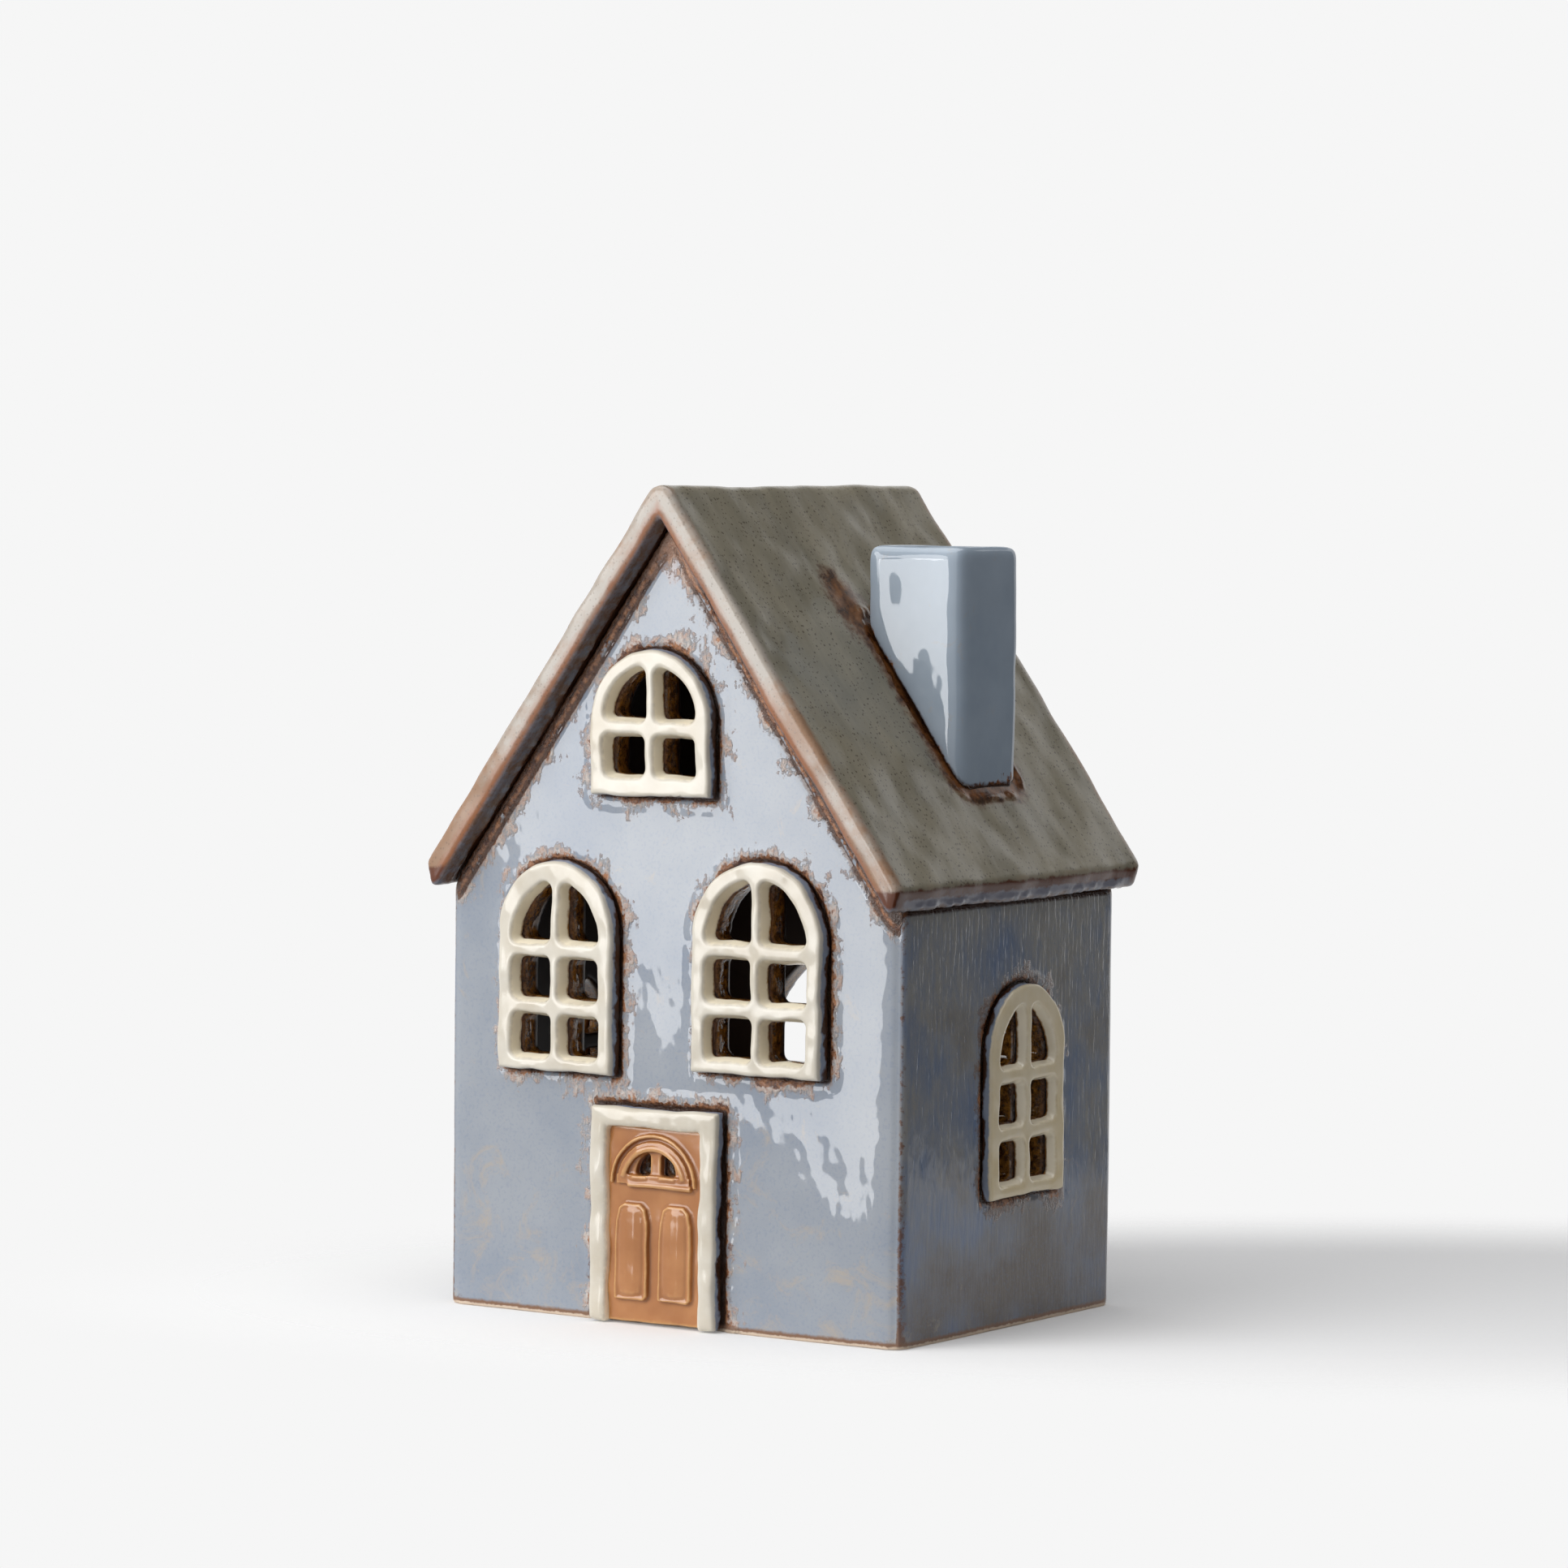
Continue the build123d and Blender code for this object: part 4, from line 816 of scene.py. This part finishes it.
def drawn_aluminium():
    """Bright aluminium foil, deep-drawn: silvery, with fine upright drawing lines and small dents."""
    material = bpy.data.materials.new("aluminium_sheet_deep_drawn")
    material.use_nodes = True
    tree = material.node_tree
    tree.nodes.clear()
    place = add(tree, "ShaderNodeTexCoord", out="Object")
    sized = add(tree, "ShaderNodeVectorMath", {0: place, "Scale": 1 / mm}, operation="SCALE")
    # Drawing lines of 0.3 mm, drawn coarse enough to show, and dents of 4 mm
    drawn = add(tree, "ShaderNodeMapping", {"Vector": sized, "Scale": (1 / 0.3, 1 / 0.3, 1 / 9)})
    lines = add(tree, "ShaderNodeTexNoise", {"Vector": drawn, "Scale": 1.0, "Detail": 2.0})
    dents = add(tree, "ShaderNodeTexNoise", {"Vector": sized, "Scale": 1 / 4, "Detail": 2.0})
    colour = add(tree, "ShaderNodeMix", {0: lines, 6: linear("#c2c4c6"), 7: linear("#dcdddd")}, out=2,
                 data_type="RGBA")
    gloss = add(tree, "ShaderNodeMapRange", {0: lines, 1: 0.3, 2: 0.7, 3: 0.2, 4: 0.36})
    relief = add(tree, "ShaderNodeMath", {0: lines, 1: 0.1, 2: dents}, operation="MULTIPLY_ADD")
    bump = add(tree, "ShaderNodeBump", {"Height": relief, "Distance": 0.15 * mm})
    shader = add(tree, "ShaderNodeBsdfPrincipled", {"Base Color": colour, "Metallic": 1.0, "Roughness": gloss,
                                                    "Normal": bump})
    add(tree, "ShaderNodeOutputMaterial", {"Surface": shader}, out=None)
    return material


cup_low, cup_high = (Vector(corner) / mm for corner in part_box("tealight_cup"))
cup_rim = (cup_high.x - cup_low.x) / 2
cup_wall = cup_rim - 0.8
foot = cup_low.z
cup = turned("pressed_cup", [
    (0, foot + 0.4, 0), (7, foot + 0.4, 0), (7.6, foot + 0.1, 0), (8.2, foot + 0.4, 0), (13, foot + 0.4, 0),
    (13.6, foot, 0), (cup_wall - 1.3, foot, 0), (cup_wall - 0.5, foot + 0.3, 0), (cup_wall - 0.1, foot + 1.2, 0.3),
    (cup_wall, foot + 3, 1), (cup_wall, foot + 8, 1), (cup_wall, cup_high.z - 1.6, 1),
    (cup_wall, cup_high.z - 0.9, 0),
    (cup_rim - 0.3, cup_high.z - 0.6, 0), (cup_rim, cup_high.z - 0.35, 0), (cup_rim - 0.05, cup_high.z - 0.1, 0),
    (cup_rim - 0.3, cup_high.z, 0), (cup_wall - 0.25, cup_high.z - 0.1, 0), (cup_wall - 0.4, cup_high.z - 0.5, 0),
    (cup_wall - 0.4, cup_high.z - 1.6, 1), (cup_wall - 0.4, foot + 8, 1), (cup_wall - 0.4, foot + 3, 1),
    (cup_wall - 0.6, foot + 1.2, 0.3), (cup_wall - 1.4, foot + 0.5, 0), (13.6, foot + 0.45, 0), (7, foot + 0.8, 0),
    (0, foot + 0.8, 0),
], flutes=60, flute_depth=0.09, segments=360)
aluminium = drawn_aluminium()
cup.materials.append(aluminium)
settle("pressed_cup", cup, "tealight_cup", "tealight")

# The wax.
# Paraffin poured into the cup. It shrank as it set, so it stands up at the cup's wall and round the wick.


def poured_paraffin():
    """Refined paraffin wax, poured and set: milky white, softly lit from within, with a faint bloom."""
    material = bpy.data.materials.new("paraffin_wax_poured")
    material.use_nodes = True
    tree = material.node_tree
    tree.nodes.clear()
    place = add(tree, "ShaderNodeTexCoord", out="Object")
    sized = add(tree, "ShaderNodeVectorMath", {0: place, "Scale": 1 / mm}, operation="SCALE")
    # A bloom of 3 mm clouds, and setting ripples of 1.2 mm
    bloom = add(tree, "ShaderNodeTexNoise", {"Vector": sized, "Scale": 1 / 3, "Detail": 4.0})
    ripples = add(tree, "ShaderNodeTexNoise", {"Vector": sized, "Scale": 1 / 1.2, "Detail": 2.0})
    colour = add(tree, "ShaderNodeMix", {0: bloom, 6: linear("#e9e6dc"), 7: linear("#f3f1ea")}, out=2,
                 data_type="RGBA")
    gloss = add(tree, "ShaderNodeMapRange", {0: bloom, 1: 0.3, 2: 0.7, 3: 0.32, 4: 0.5})
    bump = add(tree, "ShaderNodeBump", {"Height": ripples, "Distance": 0.06 * mm})
    shader = add(tree, "ShaderNodeBsdfPrincipled", {
        "Base Color": colour, "Roughness": gloss, "Normal": bump, "IOR": 1.44, "Subsurface Weight": 0.4,
        "Subsurface Radius": (1.0, 0.9, 0.75), "Subsurface Scale": 1.5 * mm})
    add(tree, "ShaderNodeOutputMaterial", {"Surface": shader}, out=None)
    return material


wax_low, wax_high = (Vector(corner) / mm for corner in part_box("tealight_wax"))
wax_edge = (wax_high.x - wax_low.x) / 2 - 0.15
wax = turned("poured_wax", [
    (0, wax_low.z + 0.5, 0), (wax_edge - 1.2, wax_low.z + 0.5, 0), (wax_edge - 0.3, wax_low.z + 1.3, 0),
    (wax_edge, wax_low.z + 3, 1), (wax_edge, wax_high.z - 0.2, 1), (wax_edge - 0.2, wax_high.z + 0.1, 1),
    (wax_edge - 0.8, wax_high.z - 0.25, 0), (wax_edge - 2.2, wax_high.z - 0.5, 0),
    (wax_edge - 5, wax_high.z - 0.6, 0),
    (8, wax_high.z - 0.6, 0), (4, wax_high.z - 0.45, 0), (2.2, wax_high.z - 0.1, 0), (1.3, wax_high.z + 0.35, 0),
    (0.8, wax_high.z + 0.5, 0), (0, wax_high.z + 0.5, 0),
], flutes=60, flute_depth=0.09, segments=360)
wax.materials.append(poured_paraffin())
settle("poured_wax", wax, "tealight_wax", "tealight")

# The wick and its tab.
# Three cotton yarns twisted together and primed with wax, crimped at the foot into a small disc of tinned sheet.


def twisted_yarn_tree():
    """Yarns that wind round each other up an axis. Sizes are in millimetres."""
    tree = bpy.data.node_groups.new("twisted_yarn", "GeometryNodeTree")
    tree.interface.new_socket("Start", in_out="INPUT", socket_type="NodeSocketGeometry")
    tree.interface.new_socket("Material", in_out="INPUT", socket_type="NodeSocketMaterial")
    tree.interface.new_socket("Foot", in_out="INPUT", socket_type="NodeSocketVector")
    tree.interface.new_socket("Yarns", in_out="INPUT", socket_type="NodeSocketInt")
    for name in ("Height", "Yarn Radius", "Wind Radius", "Turn Pitch", "Droop"):
        tree.interface.new_socket(name, in_out="INPUT", socket_type="NodeSocketFloat")
    tree.interface.new_socket("Wick", in_out="OUTPUT", socket_type="NodeSocketGeometry")
    given = add(tree, "NodeGroupInput", out=None).outputs
    top = add(tree, "ShaderNodeCombineXYZ", {"Z": given["Height"]})
    line = add(tree, "GeometryNodeCurvePrimitiveLine", {"Start": (0.0, 0.0, 0.0), "End": top})
    line = add(tree, "GeometryNodeResampleCurve", {"Curve": line, "Count": 72})
    yarns = add(tree, "GeometryNodeDuplicateElements", {"Geometry": line, "Amount": given["Yarns"]}, out=None,
                domain="SPLINE").outputs
    height = add(tree, "ShaderNodeSeparateXYZ", {0: add(tree, "GeometryNodeInputPosition")}, out="Z")
    share = add(tree, "ShaderNodeMath", {0: yarns["Duplicate Index"], 1: given["Yarns"]}, operation="DIVIDE")
    turns = add(tree, "ShaderNodeMath", {0: height, 1: given["Turn Pitch"]}, operation="DIVIDE")
    turns = add(tree, "ShaderNodeMath", {0: turns, 1: share}, operation="ADD")
    angle = add(tree, "ShaderNodeMath", {0: turns, 1: math.tau}, operation="MULTIPLY")
    side = add(tree, "ShaderNodeMath", {0: angle}, operation="COSINE")
    front = add(tree, "ShaderNodeMath", {0: angle}, operation="SINE")
    wound = add(tree, "ShaderNodeCombineXYZ", {"X": side, "Y": front})
    wound = add(tree, "ShaderNodeVectorMath", {0: wound, "Scale": given["Wind Radius"]}, operation="SCALE")
    rise = add(tree, "ShaderNodeMath", {0: height, 1: given["Height"]}, operation="DIVIDE")
    rise = add(tree, "ShaderNodeMath", {0: rise, 1: 3.0}, operation="POWER")
    lean = add(tree, "ShaderNodeMath", {0: rise, 1: given["Droop"]}, operation="MULTIPLY")
    lean = add(tree, "ShaderNodeCombineXYZ", {"X": lean, "Y": lean})
    offset = add(tree, "ShaderNodeVectorMath", {0: wound, 1: lean}, operation="ADD")
    moved = add(tree, "GeometryNodeSetPosition", {"Geometry": yarns["Geometry"], "Offset": offset})
    ring = add(tree, "GeometryNodeCurvePrimitiveCircle", {"Resolution": 10, "Radius": given["Yarn Radius"]})
    wick = add(tree, "GeometryNodeCurveToMesh", {"Curve": moved, "Profile Curve": ring, "Fill Caps": True})
    wick = add(tree, "GeometryNodeTransform", {"Geometry": wick, "Translation": given["Foot"],
                                               "Scale": (mm, mm, mm)})
    wick = add(tree, "GeometryNodeSetShadeSmooth", {"Geometry": wick})
    real = add(tree, "GeometryNodeRealizeInstances", {"Geometry": wick})
    dressed = add(tree, "GeometryNodeSetMaterial", {"Geometry": real, "Material": given["Material"]})
    add(tree, "NodeGroupOutput", {"Wick": dressed}, out=None)
    return tree


def primed_cotton():
    """Cotton yarn primed with wax: off-white, fibrous along the yarn, dull with a faint waxy shine."""
    material = bpy.data.materials.new("cotton_yarn_primed")
    material.use_nodes = True
    tree = material.node_tree
    tree.nodes.clear()
    place = add(tree, "ShaderNodeTexCoord", out="Object")
    sized = add(tree, "ShaderNodeVectorMath", {0: place, "Scale": 1 / mm}, operation="SCALE")
    # Fibres of 0.12 by 1 mm
    drawn = add(tree, "ShaderNodeMapping", {"Vector": sized, "Scale": (1 / 0.12, 1 / 0.12, 1.0)})
    fibres = add(tree, "ShaderNodeTexNoise", {"Vector": drawn, "Scale": 1.0, "Detail": 3.0})
    colour = add(tree, "ShaderNodeMix", {0: fibres, 6: linear("#cfc8b8"), 7: linear("#efebe0")}, out=2,
                 data_type="RGBA")
    gloss = add(tree, "ShaderNodeMapRange", {0: fibres, 1: 0.3, 2: 0.7, 3: 0.5, 4: 0.8})
    bump = add(tree, "ShaderNodeBump", {"Height": fibres, "Distance": 0.05 * mm})
    shader = add(tree, "ShaderNodeBsdfPrincipled", {"Base Color": colour, "Roughness": gloss, "Normal": bump,
                                                    "Sheen Weight": 0.3})
    add(tree, "ShaderNodeOutputMaterial", {"Surface": shader}, out=None)
    return material


def tinned_sheet():
    """Tinned sheet steel, blanked and pressed: pale grey metal with soft spangles of 1.5 mm."""
    material = bpy.data.materials.new("tinned_steel_pressed")
    material.use_nodes = True
    tree = material.node_tree
    tree.nodes.clear()
    place = add(tree, "ShaderNodeTexCoord", out="Object")
    sized = add(tree, "ShaderNodeVectorMath", {0: place, "Scale": 1 / mm}, operation="SCALE")
    spangle = add(tree, "ShaderNodeTexNoise", {"Vector": sized, "Scale": 1 / 1.5, "Detail": 2.0})
    colour = add(tree, "ShaderNodeMix", {0: spangle, 6: linear("#a8a9aa"), 7: linear("#c6c7c8")}, out=2,
                 data_type="RGBA")
    gloss = add(tree, "ShaderNodeMapRange", {0: spangle, 1: 0.3, 2: 0.7, 3: 0.28, 4: 0.45})
    shader = add(tree, "ShaderNodeBsdfPrincipled", {"Base Color": colour, "Metallic": 1.0, "Roughness": gloss})
    add(tree, "ShaderNodeOutputMaterial", {"Surface": shader}, out=None)
    return material


twisted_yarn = twisted_yarn_tree()
wick_low, wick_high = (Vector(corner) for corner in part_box("wick"))
wick_foot = Vector(((wick_low.x + wick_high.x) / 2, (wick_low.y + wick_high.y) / 2, wick_low.z))
yarn = bpy.data.objects.new("twisted_wick", bpy.data.meshes.new("twisted_wick_start"))
stage.link(yarn)
twist = yarn.modifiers.new("twist", "NODES")
twist.node_group = twisted_yarn
sizes = {"Material": primed_cotton(), "Foot": wick_foot, "Yarns": 3, "Height": (wick_high.z - wick_low.z) / mm,
         "Yarn Radius": 0.38, "Wind Radius": 0.34, "Turn Pitch": 3.2, "Droop": 0.7}
for socket in twisted_yarn.interface.items_tree:
    if socket.in_out == "INPUT" and socket.name in sizes:
        twist[socket.identifier] = sizes[socket.name]
graph = bpy.context.evaluated_depsgraph_get()
mesh = bpy.data.meshes.new_from_object(yarn.evaluated_get(graph), preserve_all_data_layers=True, depsgraph=graph)
bpy.data.objects.remove(yarn)
settle("twisted_wick", mesh, "wick", "tealight")
tab = frame["nodes"]["wick_tab"]
tab.data.materials.clear()
tab.data.materials.append(tinned_sheet())

# The floor of the studio, the lamps and the camera.
# A pale sweep that fades into a white background, a square soft box at the front left, a small panel in front and
# a soft light overhead. Black cards at the right and behind keep the shaded side from mirroring the white.

paper = bpy.data.materials.new("matt_white_paper_sweep")
paper.use_nodes = True
tree = paper.node_tree
tree.nodes.clear()
place = add(tree, "ShaderNodeTexCoord", out="Object")
spot = add(tree, "ShaderNodeMapping", {"Vector": place, "Location": (0.0835, 0.0733, 0.0),
                                       "Rotation": (0.0, 0.0, math.radians(33.5)), "Scale": (0.27, 0.13, 1.0)},
           vector_type="TEXTURE")
far = add(tree, "ShaderNodeVectorMath", {0: spot}, out="Value", operation="LENGTH")
fade = add(tree, "ShaderNodeMapRange", {0: far, 1: 0.45, 2: 1.0}, interpolation_type="SMOOTHSTEP")
tooth = add(tree, "ShaderNodeTexNoise", {"Vector": place, "Scale": 900.0, "Detail": 2.0})
tone = add(tree, "ShaderNodeMix", {0: tooth, 6: linear("#efefef"), 7: linear("#f3f3f3")}, out=2, data_type="RGBA")
matt = add(tree, "ShaderNodeBsdfPrincipled", {"Base Color": tone, "Roughness": 0.9, "Specular IOR Level": 0.1})
clear = add(tree, "ShaderNodeBsdfTransparent")
shader = add(tree, "ShaderNodeMixShader", {0: fade, 1: matt, 2: clear})
add(tree, "ShaderNodeOutputMaterial", {"Surface": shader}, out=None)
work = bmesh.new()
bmesh.ops.create_circle(work, cap_ends=True, segments=96, radius=0.9)
mesh = bpy.data.meshes.new("sweep")
work.to_mesh(mesh)
work.free()
mesh.materials.append(paper)
sweep = bpy.data.objects.new("sweep", mesh)
stage.link(sweep)

world = bpy.data.worlds.new("studio")
bpy.context.scene.world = world
world.use_nodes = True
tree = world.node_tree
tree.nodes.clear()
path = add(tree, "ShaderNodeLightPath", out=None).outputs
seen = add(tree, "ShaderNodeMath", {0: path["Is Camera Ray"], 1: path["Is Glossy Ray"]}, operation="MAXIMUM")
seen = add(tree, "ShaderNodeMath", {0: seen, 1: path["Is Transmission Ray"]}, operation="MAXIMUM")
dim = add(tree, "ShaderNodeBackground", {"Color": (0.19, 0.19, 0.195, 1.0), "Strength": 1.0})
white = add(tree, "ShaderNodeBackground", {"Color": linear("#f6f6f6"), "Strength": 1.0})
shader = add(tree, "ShaderNodeMixShader", {0: seen, 1: dim, 2: white})
add(tree, "ShaderNodeOutputWorld", {"Surface": shader}, out=None)

card = bpy.data.materials.new("black_card")
card.use_nodes = True
card.node_tree.nodes["Principled BSDF"].inputs["Base Color"].default_value = linear("#202020")
card.node_tree.nodes["Principled BSDF"].inputs["Roughness"].default_value = 0.9
for name, corners in {
    "right_card": ((0.5, -0.5, -0.3), (0.5, 1.2, -0.3), (0.5, 1.2, 1.0), (0.5, -0.5, 1.0)),
    "back_card": ((-0.8, 1.1, 0.75), (0.8, 1.1, 0.75), (0.8, 1.1, 1.6), (-0.8, 1.1, 1.6)),
}.items():
    mesh = bpy.data.meshes.new(name)
    mesh.from_pydata(corners, [], [(0, 1, 2, 3)])
    mesh.materials.append(card)
    flag = bpy.data.objects.new(name, mesh)
    flag.visible_camera = False
    flag.visible_diffuse = False
    flag.visible_shadow = False
    stage.link(flag)

for name, place, aim, roll, size, power in (
    ("soft_box", (-0.185, -0.417, 0.252), (0.368, 0.416, 0.252), 45.0, (0.42, 0.38), 2.55),
    ("front_panel", (-0.01, -0.55, 0.12), (-0.01, 0.0, 0.12), 0.0, (0.09, 0.16), 0.3),
    ("overhead", (0.05, -0.1, 1.2), (0, 0, 0), 0.0, (1.4, 1.4), 10.1),
):
    lamp = bpy.data.lights.new(name, "AREA")
    lamp.shape = "RECTANGLE"
    lamp.size, lamp.size_y = size
    lamp.energy = power
    light = bpy.data.objects.new(name, lamp)
    turn = (Vector(aim) - Vector(place)).to_track_quat("-Z", "Y").to_matrix() @ Matrix.Rotation(
        math.radians(roll), 3, "Z")
    light.matrix_world = Matrix.Translation(place) @ turn.to_4x4()
    stage.link(light)

azimuth, elevation, roll = (math.radians(angle) for angle in (33.54, 3.173, 0.576))
ahead = Vector((-math.sin(azimuth) * math.cos(elevation), math.cos(azimuth) * math.cos(elevation),
                -math.sin(elevation)))
right = Vector((math.cos(azimuth), math.sin(azimuth), 0))
up = right.cross(ahead)
turn = Matrix((math.cos(roll) * right + math.sin(roll) * up, math.cos(roll) * up - math.sin(roll) * right,
               -ahead)).transposed()
lens = bpy.data.cameras.new("camera")
lens.lens = 136.3
lens.sensor_width = 36.0
lens.clip_start = 0.01
camera = bpy.data.objects.new("camera", lens)
camera.matrix_world = Matrix.Translation((0.5982, -0.9030, 0.1556)) @ turn.to_4x4()
stage.link(camera)
bpy.context.scene.camera = camera
bpy.context.scene.view_settings.view_transform = "Standard"
